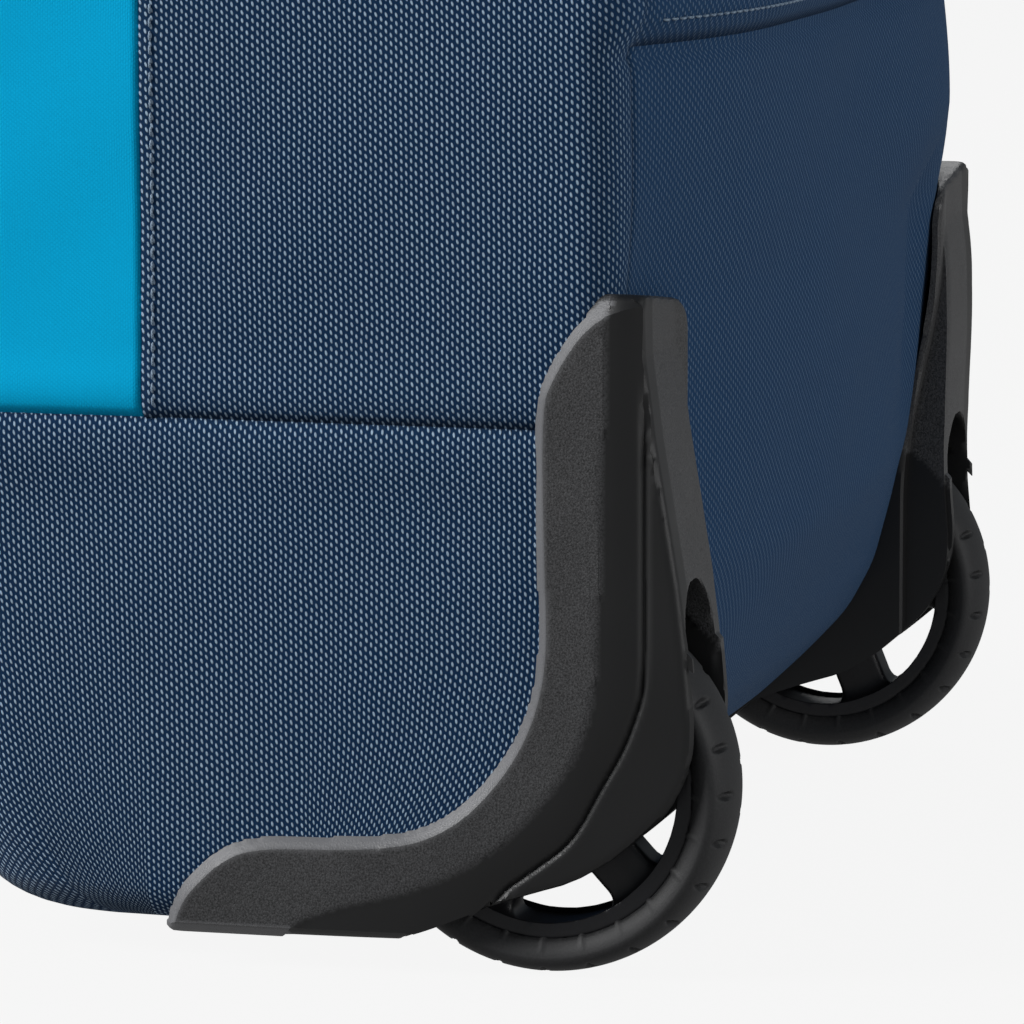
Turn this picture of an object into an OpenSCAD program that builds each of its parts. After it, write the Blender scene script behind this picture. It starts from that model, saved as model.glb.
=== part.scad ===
// Soft-sided insulated cooler on two corner wheels, with a telescoping pull handle.
// Millimetres. +Z is up, -Y is the front, X runs along the wheel axles.
// The origin is the centre of the footprint, on the floor.

/* [Bag] */
// Width across the fabric side walls
bag_w = 347; // [290:1:420]
// Depth from the front wall to the back corners
bag_d = 180; // [150:1:220]
// Height of the lid zip above the floor
zip_z = 392; // [326:1:471]
// Height of the lid above its zip
lid_h = 38; // [36:1:60]
// Height of the seam between the base fabric and the upper walls
boot_z = 131; // [109:1:158]
// Height of the seam across the back, where its lower panel ends
back_seam_z = 220; // [190:1:264]
// Gap between the bag's bottom and the floor
ground_gap = 9; // [7:1:12]
// Radius of the upright front corners
front_r = 28; // [18:1:40]
// Radius of the upright back corners
back_r = 12; // [8:1:18]
// How far the padded back swells out at mid width
back_swell = 20; // [19:1:26]
// Distance from the back corners forward to the coloured front panel
panel_seam = 116; // [95:1:140]

/* [Walls] */
// Thickness of the outer fabric
fabric_t = 1.6; // [1.2:0.1:2]
// Thickness of the insulating foam
foam_t = 8; // [6.5:0.5:10]
// Thickness of the foam under the floor of the cooler
floor_foam_t = 12; // [10:1:16]
// Thickness of the waterproof liner
liner_t = 1; // [0.8:0.1:1.4]
// Thickness of the stiffening boards
board_t = 2; // [1.6:0.1:2.4]

/* [Front pocket] */
// How far the pocket stands in front of the bag
pocket_d = 20; // [16:1:30]
// Width of the pocket
pocket_w = 290; // [240:1:300]
// Height of the pocket
pocket_h = 200; // [165:1:240]

/* [Wheels] */
// Radius of the wheels
wheel_r = 45; // [37.5:0.5:54]
// Distance from the side walls in to the wheel planes
wheel_inset = 17; // [16:0.5:20.5]
// Width of the tyre
tyre_w = 25; // [21:1:26]
// Distance from the back corners forward to the axle
axle_in = 20; // [17:1:24]
// Radius of the axle
axle_r = 3.95; // [3.3:0.01:4.74]
// Outer radius of a wheel bearing
bearing_r = 11; // [9.5:0.5:12]
// Width of a wheel bearing
bearing_w = 7; // [6:0.5:8]
// Number of spokes
spokes = 5; // [4:1:6]

/* [Corner guards] */
// Height of the guard above the axle
guard_up = 119; // [99:1:143]
// Reach of the guard in front of the axle
guard_fore = 89; // [75:1:106]
// Width of the guard's upright leg on the side of the bag
guard_leg = 18.5; // [15:0.5:22]
// Thickness of the guard on the side of the bag
guard_t = 3; // [2.6:0.1:4]

/* [Pull handle] */
// Distance of each tube from the middle of the bag
tube_x = 62; // [50:1:70]
// Width of the fixed outer tube
tube_w = 22; // [20:0.2:26.4]
// Depth of the fixed outer tube
tube_d = 13; // [12.5:0.5:14]
// Wall of the tubes
tube_t = 1; // [0.8:0.1:1.1]
// Depth of the hand grip
grip_d = 18; // [16:1:19]
// Height of the hand grip
grip_h = 20; // [19:1:22]
// Travel of the release button
press = 3; // [2.5:0.5:3]

/* [Carrying handles] */
// Length of a side handle from end to end
strap_len = 128; // [110:1:150]
// Width of the webbing
strap_w = 25; // [20:1:38]
// Thickness of the webbing
strap_t = 2.4; // [2:0.1:3]
// How far the webbing bows away from the bag
strap_bow = 16; // [13:1:22]

/* [Hidden] */

big = 1000;
arc_steps = 6;
swell_steps = 12;

// Clearances
gap = 0.2;          // between layers of the bag
slide_gap = 0.3;    // between telescoping tubes
move_gap = 0.4;     // between the lid and the walls
tyre_gap = 1.5;     // between the tyre and the housing, each side
roof_gap = 3;       // between the tread and the roof of the wheel well
well_t = 2;         // roof of the wheel well

// Zip parts
tape_t = 0.8;
teeth_t = 1;
teeth_h = 2.2;
teeth_mesh = 0.05;                            // half the gap between two rows of teeth
pocket_tape_h = 9;
slider_w = 9;
slider_h = 11;
slider_t = 2.6;
slider_seat = slide_gap;
bail_h = 5;
bail_r = 0.9;
bail_t = 1.2;
pin_y = -slider_t - 1.7;                      // bail pin, in front of the face the slider stands on
pull_len = 32;
pull_w = 9;
pull_t = 1.4;
pull_eye_r = 1.1;
pull_hub_r = 1.7;
pull_proud = tape_t + teeth_t + slider_seat - pin_y + pull_hub_r;

// Places along X, Y and Z
track = bag_w - 2 * wheel_inset;
depth_all = pull_proud + pocket_d + bag_d + wheel_r - axle_in;
y_front = pull_proud + pocket_d - depth_all / 2;
y_back = y_front + bag_d;
axle_y = y_back - axle_in;
axle_z = wheel_r;
lid_top = zip_z + lid_h;
tube_y = y_back - 1;
board_y = tube_y - tube_d / 2 - gap;          // back face of the back board
foam_y = board_y - board_t - gap;             // back face of the foam
hinge_y = foam_y - foam_t;                    // hinge line of the lid, at lid_top
seam_y = y_back - panel_seam;
leg_y = axle_in - guard_leg;                  // front edge of the guard's upright, from the axle
top_r = 15;                                   // round top of the guard
floor_z = ground_gap + fabric_t + board_t + gap;

// The housing, outward from the wheel plane
side_x = wheel_inset;                         // outer face of the fabric
guard_x = side_x + guard_t;                   // outer face of the guard
well_out = side_x - fabric_t;                 // outer wall of the well
well_in = tyre_w / 2 + tyre_gap;              // inner faces of both walls
well_back = well_in + 3.3;                    // inboard wall of the well
pod_in = well_back + 1.7;                     // inboard face of the pod
well_r = wheel_r + roof_gap;

// Colours
navy = [0.10, 0.18, 0.27];
blue = [0.0, 0.60, 0.82];
black = [0.12, 0.12, 0.12];
silver = [0.72, 0.73, 0.75];

// ---------- shared shapes ----------

function arc(cx, cy, rx, ry, a0, a1, n = arc_steps) =
    [for (i = [0:n]) let (a = a0 + (a1 - a0) * i / n) [cx + rx * cos(a), cy + ry * sin(a)]];

// Plan of the bag, inset by t. Its front and front corners are tucked in by tuck, its back is
// moved by shift and swollen by swell. The sides stay flat beside the wheels.
function plan(t, tuck = 0, shift = 0, swell = back_swell) = let (
    w = bag_w / 2 - t, wf = w - tuck, rf = max(front_r - t, 5), rb = max(back_r - t, 3),
    f = y_front + t + tuck, b = y_back - t + shift, flat = w - rb, k = axle_y - wheel_r - 12)
    concat(arc(rf - wf, f + rf, rf, rf, 180, 270), arc(wf - rf, f + rf, rf, rf, 270, 360), [[w, k]],
        arc(w - rb, b - rb, rb, rb, 0, 90),
        [for (i = [1:swell_steps - 1]) let (u = 1 - 2 * i / swell_steps) [u * flat, b + swell * (1 - u * u)]],
        arc(rb - w, b - rb, rb, rb, 90, 180), [[-w, k]]);

// The bag's section by height: [height, tuck, shift of the back, swell of the back].
// Below the axle the back runs forward as a heel, in step with the wheel.
levels = [
    [zip_z, 0, 0, back_swell],
    [boot_z, 0, 0, back_swell],
    [axle_z + 1.0 * wheel_r, 1, 0, 0.8 * back_swell],
    [axle_z + 0.67 * wheel_r, 1.8, -0.01 * wheel_r, 0.5 * back_swell],
    [axle_z + 0.24 * wheel_r, 3.5, -0.09 * wheel_r, 0.2 * back_swell],
    [axle_z - 0.07 * wheel_r, 5.5, -0.24 * wheel_r, 0.1 * back_swell],
    [axle_z - 0.33 * wheel_r, 9, -0.47 * wheel_r, 0],
    [axle_z - 0.56 * wheel_r, 14, -0.71 * wheel_r, 0],
    [ground_gap, 22, -0.98 * wheel_r, 0]];
bottom = levels[len(levels) - 1];

// The whole bag below the lid's zip, inset by t, as one closed loft through the levels
module bag_solid(t = 0) {
    rings = [for (i = [len(levels) - 1:-1:0]) let (l = levels[i])
        [for (p = plan(t, l[1], l[2], l[3])) [p[0], p[1], l[0]]]];
    n = len(rings[0]);
    m = len(rings);
    polyhedron(
        points = [for (r = rings) for (p = r) p],
        faces = concat(
            [[for (i = [0:n - 1]) i]],
            [for (k = [0:m - 2]) for (i = [0:n - 1]) let (j = (i + 1) % n)
                each [[k * n + i, (k + 1) * n + i, (k + 1) * n + j], [k * n + i, (k + 1) * n + j, k * n + j]]],
            [[for (i = [n - 1:-1:0]) (m - 1) * n + i]]));
}

// Everything between two heights and behind or in front of a plane
module between(z0, z1, y0 = -big, y1 = big) {
    translate([-big, y0, z0]) cube([2 * big, y1 - y0, z1 - z0]);
}

// Extrudes a (Y, Z) outline along X
module slab(x0, x1) {
    translate([x0, 0, 0]) rotate([90, 0, 90]) linear_extrude(x1 - x0) children();
}

// A round bar along X
module bar_x(r, x0, x1) {
    translate([x0, 0, 0]) rotate([0, 90, 0]) cylinder(r = r, h = x1 - x0, $fn = 64);
}

// A rectangle with true round corners, centred
module round_rect(w, d, r) {
    square([w - 2 * r, d], center = true);
    square([w, d - 2 * r], center = true);
    for (i = [-1, 1], j = [-1, 1])
        translate([i * (w / 2 - r), j * (d / 2 - r)]) circle(r = r, $fn = 32);
}

module at_wheel(side) {
    mirror([side > 0 ? 0 : 1, 0, 0]) translate([track / 2, axle_y, axle_z]) children();
}

module both_sides() {
    for (side = [1, -1]) mirror([side > 0 ? 0 : 1, 0, 0]) children();
}

// ---------- bag ----------

// Screws that hold the guard from inside the bag, two through its side and two through its back
side_screw_y = leg_y + (guard_leg - back_r) / 2;
back_screw_x = -10;
screw_zs = [wheel_r + 27, guard_up - top_r - 4];
screw_r = 1.5;
head_r = 3.2;
head_t = 2;
screw_bite = 2.2;
seat_drop = 0.3;    // keeps a flat head clear of the curved fabric

// Outer surface of the back at a distance x from the middle, at full swell
function back_at(x) = let (u = x / (bag_w / 2 - back_r)) y_back + back_swell * (1 - u * u) - gap;

// A screw along +Z, its head's underside at head_t, made wider by wide
module guard_screw(through, wide, head) {
    cylinder(r = screw_r + wide, h = head_t + through + screw_bite, $fn = 32);
    if (head) translate([0, 0, -wide]) cylinder(r = head_r + wide, h = head_t + wide, $fn = 32);
}

module guard_screws(side, wide = 0, head = true) {
    x = track / 2 + back_screw_x;
    seat = back_at(x + head_r) - fabric_t - seat_drop;
    at_wheel(side) for (z = screw_zs) {
        translate([well_out - head_t, side_screw_y, z]) rotate([0, 90, 0])
            guard_screw(fabric_t, wide, head);
        translate([back_screw_x, seat - head_t - axle_y, z]) rotate([-90, 0, 0])
            guard_screw(back_at(x) - seat, wide, head);
    }
}

// The whole fabric skin below the lid's zip
module skin() difference() {
    bag_solid(0);
    intersection() {
        bag_solid(fabric_t);
        between(ground_gap + fabric_t, big);
    }
}

// The strip of space that holds the back's lower panel, between the back corners
panel_lap = 4;
module back_zone() slab(back_r - bag_w / 2, bag_w / 2 - back_r) polygon(concat(
    [[big, 0], [big, back_seam_z], [y_back - panel_lap, back_seam_z]],
    [for (i = [1:len(levels) - 1]) [y_back + levels[i][2] - panel_lap, levels[i][0]]],
    [[y_back + bottom[2] - panel_lap, 0]]));

// Holes through the fabric for the wheel wells and the guards' screws
module side_cuts() for (side = [1, -1]) {
    at_wheel(side) bar_x(well_r + well_t + gap, -well_back - gap, well_out + gap);
    guard_screws(side, gap, false);
}

// Upper walls: sides and back, with the taller back section that carries the pull handle
module outer_shell() color(navy) difference() {
    union() {
        intersection() {
            difference() {
                linear_extrude(zip_z) polygon(plan(0));
                linear_extrude(big) polygon(plan(fabric_t));
            }
            between(boot_z, zip_z, seam_y);
        }
        difference() {
            intersection() {
                linear_extrude(lid_top) polygon(plan(0));
                between(zip_z, lid_top, hinge_y + move_gap);
            }
            intersection() {
                linear_extrude(lid_top - fabric_t) polygon(plan(fabric_t));
                between(zip_z - 1, lid_top, hinge_y + move_gap + fabric_t);
            }
        }
    }
    back_zone();
    translate([0, tube_y, zip_z]) linear_extrude(big)
        round_rect(bezel_l + 2 * gap, bezel_d + 2 * gap, bezel_r);
    side_cuts();
}

// Lower panel of the back, from the heel up to the seam across the back
module back_panel() color(navy) difference() {
    intersection() {
        skin();
        back_zone();
    }
    side_cuts();
}

// Coloured panel across the front, wrapping round both corners
module front_panel() color(blue) intersection() {
    difference() {
        linear_extrude(zip_z) polygon(plan(0));
        linear_extrude(big) polygon(plan(fabric_t));
    }
    between(boot_z, zip_z, -big, seam_y);
}

// Base fabric: one deep tray, open where the wheel wells pass through
module base_boot() color(navy) difference() {
    intersection() {
        skin();
        between(0, boot_z);
    }
    back_zone();
    side_cuts();
    foot_holes(screw_r + gap);
}

// Stiff sheet in the bottom of the base, clear of the wheel wells
module base_board() color(black) difference() {
    translate([0, 0, ground_gap + fabric_t]) linear_extrude(board_t)
        polygon(plan(fabric_t + gap, bottom[1], bottom[2], bottom[3]));
    for (side = [1, -1]) at_wheel(side) bar_x(well_r + well_t + gap, -well_back - gap, well_out);
    foot_holes(screw_r + gap);
}

// Stiff sheet between the foam and the pull handle's tubes
back_board_w = 2 * (track / 2 - well_back - 4);
tube_foot_z = axle_z + 0.9 * wheel_r;
module back_board() color(black)
    translate([-back_board_w / 2, board_y - board_t, tube_foot_z])
        cube([back_board_w, board_t, zip_z - gap - tube_foot_z]);

// The block of space that a wheel well takes out of the foam, grown by t
module well_block(t) {
    both_sides() translate([track / 2 - well_back - gap - t, axle_y - well_r - well_t - gap - t, 0])
        cube([big, big, axle_z + well_r + well_t + gap + t]);
}

// Space inside the foam, inset by t
module cavity(t) difference() {
    intersection() {
        bag_solid(fabric_t + gap + foam_t + t);
        between(floor_z + floor_foam_t + t, big, -big, hinge_y - t);
    }
    well_block(foam_t + t);
}

// Closed-cell foam that lines the cooler, before it is cut into its sheets
module foam_box() difference() {
    intersection() {
        bag_solid(fabric_t + gap);
        between(floor_z, zip_z, -big, foam_y);
    }
    cavity(0);
    well_block(0);
    both_sides() translate([track / 2 - well_back, axle_y, axle_z]) bar_x(axle_head_r + 1, -5, 0);
    for (side = [1, -1]) guard_screws(side, gap);
}

foam_floor_z = floor_z + floor_foam_t;
foam_corner_y = y_front + front_r;
module foam_floor() color("white") intersection() {
    foam_box();
    between(0, foam_floor_z);
}
module foam_front() color("white") intersection() {
    foam_box();
    between(foam_floor_z, big, -big, foam_corner_y);
}

module foam_back() color("white") intersection() {
    foam_box();
    between(foam_floor_z, big, hinge_y);
}

// The two side sheets, each with the step over its wheel well, joined by the strip over the heel
module foam_sides() color("white") intersection() {
    foam_box();
    between(foam_floor_z, big, foam_corner_y, hinge_y);
}

// Welded liner, a waterproof skin on the foam
module liner_tub() color("gainsboro") difference() {
    cavity(0);
    cavity(liner_t);
    between(zip_z - gap, big);
}

// ---------- front pocket ----------

pocket_z0 = boot_z + 14;
pocket_z1 = pocket_z0 + pocket_h;
pocket_y = y_front - pocket_d;
pocket_zip_z = pocket_z1 - 34;
slit_h = 6;
pocket_zip_l = pocket_w - 44;
pocket_corner = 22;

module pocket_face(inset) {
    round_rect(pocket_w - 2 * inset, pocket_h - 2 * inset, pocket_corner - inset);
}

module at_pocket(y) {
    translate([0, y, (pocket_z0 + pocket_z1) / 2]) rotate([90, 0, 0]) children();
}

// Pocket: a shallow tray sewn to the front panel, with a slit for its zip
module front_pocket() color(blue) difference() {
    at_pocket(y_front) linear_extrude(pocket_d) pocket_face(0);
    at_pocket(y_front + 1) linear_extrude(pocket_d + 1 - fabric_t) pocket_face(fabric_t);
    translate([-pocket_zip_l / 2, pocket_y - 1, pocket_zip_z - slit_h / 2])
        cube([pocket_zip_l, fabric_t + 2, slit_h]);
}

// The pocket zip's two tapes
module pocket_zip_tape() color(black)
    for (dz = [teeth_h + teeth_mesh, -teeth_h - teeth_mesh - pocket_tape_h])
        translate([-pocket_zip_l / 2 - 4, pocket_y - tape_t, pocket_zip_z + dz])
            cube([pocket_zip_l + 8, tape_t, pocket_tape_h]);

// The pocket zip's two rows of teeth
module pocket_zip_teeth() color(black)
    for (dz = [teeth_mesh, -teeth_h - teeth_mesh])
        translate([-pocket_zip_l / 2, pocket_y - tape_t - teeth_t, pocket_zip_z + dz])
            cube([pocket_zip_l, teeth_t + tape_t, teeth_h]);

// Zip slider standing on a face at y = 0, its bail pin along X at [0, pin_y, 0]
module zip_slider() {
    translate([-slider_w / 2, -slider_t, -slider_h / 2]) cube([slider_w, slider_t, slider_h]);
    translate([0, pin_y, 0]) bar_x(bail_r, -slider_w / 2, slider_w / 2);
    for (x = [-slider_w / 2, slider_w / 2 - bail_t])
        translate([x, pin_y - bail_r, -bail_h / 2]) cube([bail_t, bail_r - pin_y, bail_h]);
}

// Pull tab hanging from the bail pin
pull_in = slider_w - 2 * bail_t - 2 * slide_gap;
pull_neck = 8;
module zip_pull() difference() {
    union() {
        translate([0, pin_y, 0]) bar_x(pull_hub_r, -pull_in / 2, pull_in / 2);
        translate([-pull_in / 2, pin_y - pull_t / 2, -pull_neck]) cube([pull_in, pull_t, pull_neck]);
        translate([-pull_w / 2, pin_y - pull_t / 2, -pull_len])
            cube([pull_w, pull_t, pull_len - pull_neck + 1]);
    }
    translate([0, pin_y, 0]) bar_x(pull_eye_r, -slider_w, slider_w);
}

pocket_slider_x = -pocket_zip_l / 2 + 8;
module at_pocket_slider()
    translate([pocket_slider_x, pocket_y - tape_t - teeth_t - slider_seat, pocket_zip_z]) children();
module pocket_slider() color(silver) at_pocket_slider() zip_slider();
module pocket_pull() color(silver) at_pocket_slider() zip_pull();

// ---------- lid ----------

lid_z0 = zip_z + move_gap;
module lid_plan(t) intersection() {
    polygon(plan(t));
    translate([-big, -big]) square([2 * big, big + hinge_y - move_gap - t]);
}

// Lid fabric: a shallow upturned tray, hinged along its top back edge
module lid_cover() color(navy) difference() {
    translate([0, 0, lid_z0]) linear_extrude(lid_top - lid_z0) lid_plan(0);
    translate([0, 0, lid_z0 - 1]) linear_extrude(lid_top - lid_z0 + 1 - fabric_t) lid_plan(fabric_t);
}

module lid_foam() color("white")
    translate([0, 0, lid_z0 + liner_t]) linear_extrude(lid_top - fabric_t - gap - lid_z0 - liner_t)
        lid_plan(fabric_t + gap);

module lid_liner() color("gainsboro")
    translate([0, 0, lid_z0]) linear_extrude(liner_t) lid_plan(fabric_t + gap);

// A band round the front and sides, standing on the fabric
module zip_band(z0, h, inner, outer) {
    translate([0, 0, z0]) linear_extrude(h) intersection() {
        difference() {
            polygon(plan(-outer));
            polygon(plan(-inner));
        }
        translate([-big, -big]) square([2 * big, big + hinge_y - 6]);
    }
}
tape_h = 10;
module lid_zip_tape_upper() color(black) zip_band(lid_z0, tape_h, 0, tape_t);
module lid_zip_teeth_upper() color(black) zip_band(lid_z0, teeth_h, tape_t, tape_t + teeth_t);
module lid_zip_tape_lower() color(black) zip_band(zip_z - tape_h, tape_h, 0, tape_t);
module lid_zip_teeth_lower() color(black) zip_band(zip_z - teeth_h, teeth_h, tape_t, tape_t + teeth_t);

lid_slider_x = slider_w / 2 + 1.5;
module at_lid_slider(side)
    translate([side * lid_slider_x, y_front - tape_t - teeth_t - slider_seat, zip_z]) children();
module lid_slider_left() color(silver) at_lid_slider(-1) zip_slider();
module lid_slider_right() color(silver) at_lid_slider(1) zip_slider();
module lid_pull_left() color(silver) at_lid_slider(-1) zip_pull();
module lid_pull_right() color(silver) at_lid_slider(1) zip_pull();

// ---------- side carrying handles ----------

strap_y = (y_front + y_back) / 2;
strap_z = zip_z - 62;
strap_tab = 24;
wrap_l = 56;
wrap_t = 3.5;
wrap_w = strap_w + 8;

// How far the webbing stands off the fabric at a distance y from its middle
function bow(y) = let (free = strap_len / 2 - strap_tab)
    abs(y) > free ? 0 : strap_bow * (1 + cos(180 * y / free)) / 2;
function bow_line(y0, y1, off, n = 24) =
    [for (i = [0:n]) let (y = y0 + (y1 - y0) * i / n) [bow(y) + off, y]];

module bowed(l, t_in, t_out, w)
    translate([bag_w / 2, strap_y, strap_z - w / 2]) linear_extrude(w)
        polygon(concat(bow_line(-l / 2, l / 2, t_out), bow_line(l / 2, -l / 2, t_in)));

module side_strap() bowed(strap_len, 0, strap_t, strap_w);
module strap_wrap() difference() {
    bowed(wrap_l, -wrap_t, strap_t + wrap_t, wrap_w);
    side_strap();
}
module side_strap_right() color(black) side_strap();
module side_strap_left() color(black) mirror([1, 0, 0]) side_strap();
module strap_wrap_right() color(black) strap_wrap();
module strap_wrap_left() color(black) mirror([1, 0, 0]) strap_wrap();

// ---------- wheel housings ----------

guard_low = axle_z - ground_gap;              // depth of the guard's foot below the axle
fillet_r = 44;
leg_h = 23;                                   // height of the guard's lower leg
nose = 25;

// Rear and lower edge of the pod that covers the wheel, in wheel radii from the axle
pod_edge = [[0.88, 0.49], [0.87, 0.26], [0.83, 0.12], [0.76, 0], [0.68, -0.12], [0.3, -0.44],
    [-0.1, -0.56], [-0.36, -0.66], [-0.58, -0.73], [-1.0, -guard_low / wheel_r]];

// The pod's back above that, up to the top of the guard
pod_back = [[0.84 * wheel_r, 1.07 * wheel_r], [0.76 * wheel_r, 1.64 * wheel_r]];

// Outline of the guard and pod seen from the side, (Y, Z) from the axle
module guard_outline() polygon(concat(
    [[axle_in + 7, guard_up - 3], [axle_in + 4, guard_up]],
    arc(leg_y + top_r, guard_up - top_r, top_r, top_r, 90, 180),
    arc(leg_y - fillet_r, leg_h - guard_low + fillet_r, fillet_r, fillet_r, 0, -90, 12),
    arc(nose - guard_fore, -guard_low, nose, leg_h, 90, 180),
    [for (i = [len(pod_edge) - 1:-1:0]) pod_edge[i] * wheel_r],
    pod_back));

// Outline of the pod alone: it starts just inside the bag's back and heel
pod_lap = 6;
module pod_outline() polygon(concat(
    [[axle_in + 7, guard_up - 3], [axle_in + 4, guard_up], [axle_in - pod_lap, guard_up]],
    [for (i = [2:len(levels) - 1]) [axle_in + levels[i][2] - pod_lap, levels[i][0] - axle_z]],
    [for (i = [len(pod_edge) - 2:-1:0]) pod_edge[i] * wheel_r],
    pod_back));

axle_head_r = 6.5;
boss_r = 5.5;
hub_w = 22;
boss_gap = 0.3;
slot_top = 1.1 * wheel_r;

// Everything above the guard's lower edge
module above_edge() polygon(concat(
    [[-big, -guard_low + 0.5], [-wheel_r, -guard_low + 0.5]],
    [for (i = [len(pod_edge) - 2:-1:0]) pod_edge[i] * wheel_r],
    pod_back, [[0.76 * wheel_r, big], [-big, big]]));

// Moulded corner: guard on the side, pod round the wheel, and the well inside the bag
module wheel_housing(side) difference() {
    at_wheel(side) {
        slab(0, guard_x) guard_outline();
        slab(-pod_in, side_x) pod_outline();
        slab(-well_back, well_out) intersection() {
            circle(r = well_r + well_t, $fn = 96);
            above_edge();
        }
    }
    difference() {
        bag_solid(0);
        at_wheel(side) bar_x(well_r + well_t, -well_back, well_out);
    }
    at_wheel(side) {
        difference() {
            bar_x(well_r, -well_in, well_in);
            bar_x(boss_r, -well_in - 1, -hub_w / 2 - boss_gap);
            bar_x(boss_r, hub_w / 2 + boss_gap, well_in + 1);
        }
        translate([-well_in, axle_in + 5, -wheel_r])
            cube([2 * well_in, wheel_r, wheel_r + slot_top - well_in]);
        translate([0, axle_in + 5, slot_top - well_in]) rotate([-90, 0, 0])
            cylinder(r = well_in, h = wheel_r, $fn = 48);
        bar_x(axle_r, -well_back - 1, well_in);
    }
    guard_screws(side);
}
module wheel_housing_left() color(black) wheel_housing(-1);
module wheel_housing_right() color(black) wheel_housing(1);

module housing_screws() color(silver) for (side = [1, -1]) guard_screws(side);

// ---------- wheels ----------

rim_r = 0.8 * wheel_r;                        // seat of the tyre
ring_r = 0.742 * wheel_r;                     // inside of the rim's ring
rim_half = 9.7;
hub_r = bearing_r + 3.5;
spoke_w = 13;
spoke_half = 6;
spoke_turn = [4, 25];                         // how far the left and right wheels stand turned

module spin_x() rotate([0, 90, 0]) children();

module tyre(side) at_wheel(side) spin_x() rotate_extrude($fn = 96) polygon(concat(
    [[rim_r, -tyre_w * 0.38]],
    [for (a = [-90:15:90]) [rim_r + 4 + (wheel_r - rim_r - 4) * cos(a), tyre_w / 2 * sin(a)]],
    [[rim_r, tyre_w * 0.38]]));
module tyre_left() color(black) tyre(-1);
module tyre_right() color(black) tyre(1);

module rim(side) at_wheel(side) spin_x() difference() {
    union() {
        cylinder(r = hub_r, h = hub_w, center = true, $fn = 64);
        difference() {
            cylinder(r = rim_r, h = 2 * rim_half, center = true, $fn = 96);
            cylinder(r = ring_r, h = 2 * rim_half + 1, center = true, $fn = 96);
        }
        for (i = [0:spokes - 1]) rotate(i * 360 / spokes + 90 + spoke_turn[side > 0 ? 1 : 0])
            translate([hub_r - 1, -spoke_w / 2, -spoke_half])
                cube([ring_r - hub_r + 1.8, spoke_w, 2 * spoke_half]);
    }
    for (s = [-1, 1]) translate([0, 0, s * (hub_w / 2 - bearing_w / 2)])
        cylinder(r = bearing_r, h = bearing_w, center = true, $fn = 64);
    cylinder(r = bearing_r - 2, h = hub_w + 1, center = true, $fn = 64);
}
module rim_left() color(black) rim(-1);
module rim_right() color(black) rim(1);

bearing_bore = axle_r + 0.05;
module bearings(side) at_wheel(side) for (s = [-1, 1]) {
    x = s * (hub_w / 2 - bearing_w / 2);
    difference() {
        bar_x(bearing_r, x - bearing_w / 2, x + bearing_w / 2);
        bar_x(bearing_bore, x - bearing_w, x + bearing_w);
        for (f = [-1, 1]) difference() {
            bar_x(bearing_r - 2, x + f * bearing_w / 2 - 0.6, x + f * bearing_w / 2 + 0.6);
            bar_x(axle_r + 2, x - bearing_w, x + bearing_w);
        }
    }
}
module bearings_left() color(silver) bearings(-1);
module bearings_right() color(silver) bearings(1);

module bearing_spacer(side) at_wheel(side) difference() {
    bar_x(axle_r + 1.4, bearing_w - hub_w / 2, hub_w / 2 - bearing_w);
    bar_x(bearing_bore, -hub_w, hub_w);
}
module bearing_spacer_left() color(silver) bearing_spacer(-1);
module bearing_spacer_right() color(silver) bearing_spacer(1);

// Axle pin, pushed in from the inboard side
module axle(side) at_wheel(side) {
    bar_x(axle_r, -well_back, well_in - gap);
    bar_x(axle_head_r, -well_back - 3, -well_back);
}
module axle_left() color(silver) axle(-1);
module axle_right() color(silver) axle(1);

// ---------- feet ----------

foot_x = 68;
foot_w = 46;
foot_d = 26;
foot_y = y_front + bottom[1] + 28;
foot_pitch = 26;
foot_head_z = 3;

module foot_holes(r) for (s = [-1, 1], i = [-1, 1])
    translate([s * foot_x + i * foot_pitch / 2, foot_y, -1]) cylinder(r = r, h = floor_z + 1, $fn = 32);

module front_feet() color(black) difference() {
    for (s = [-1, 1]) translate([s * foot_x, foot_y, 0]) linear_extrude(ground_gap)
        round_rect(foot_w, foot_d, 8);
    foot_holes(screw_r);
    for (s = [-1, 1], i = [-1, 1])
        translate([s * foot_x + i * foot_pitch / 2, foot_y, -1])
            cylinder(r = head_r + gap, h = 1 + foot_head_z + head_t, $fn = 32);
}

module foot_screws() color(silver) for (s = [-1, 1], i = [-1, 1])
    translate([s * foot_x + i * foot_pitch / 2, foot_y, foot_head_z]) {
        cylinder(r = head_r, h = head_t, $fn = 32);
        cylinder(r = screw_r, h = floor_z - foot_head_z - gap, $fn = 32);
    }

// ---------- pull handle ----------

mid_w = tube_w - 2 * tube_t - 2 * slide_gap;
mid_d = tube_d - 2 * tube_t - 2 * slide_gap;
in_w = mid_w - 2 * tube_t - 2 * slide_gap;
in_d = mid_d - 2 * tube_t - 2 * slide_gap;
bore_w = in_w - 2 * tube_t;
bore_d = in_d - 2 * tube_t;
grip_l = 2 * tube_x + 34;
bezel_wall = 1.3;
bezel_gap = 1.2;                              // round the grip
bezel_l = grip_l + 2 * (bezel_gap + bezel_wall);
bezel_d = grip_d + 2 * (bezel_gap + bezel_wall);
bezel_r = 6;
bezel_floor = 2;
lip = 2.5;
lip_t = 1.4;
grip_z = lid_top - grip_h;
foot_block = 16;
tube_z0 = tube_foot_z + 6;
mid_z0 = tube_z0 + 4;
in_z0 = mid_z0 + 4;
collar_h = 5;

module tube(w, d, z0, z1) both_sides() translate([tube_x, tube_y, z0]) linear_extrude(z1 - z0)
    difference() {
        round_rect(w, d, d * 0.32);
        round_rect(w - 2 * tube_t, d - 2 * tube_t, d * 0.32 - tube_t / 2);
    }

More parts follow.
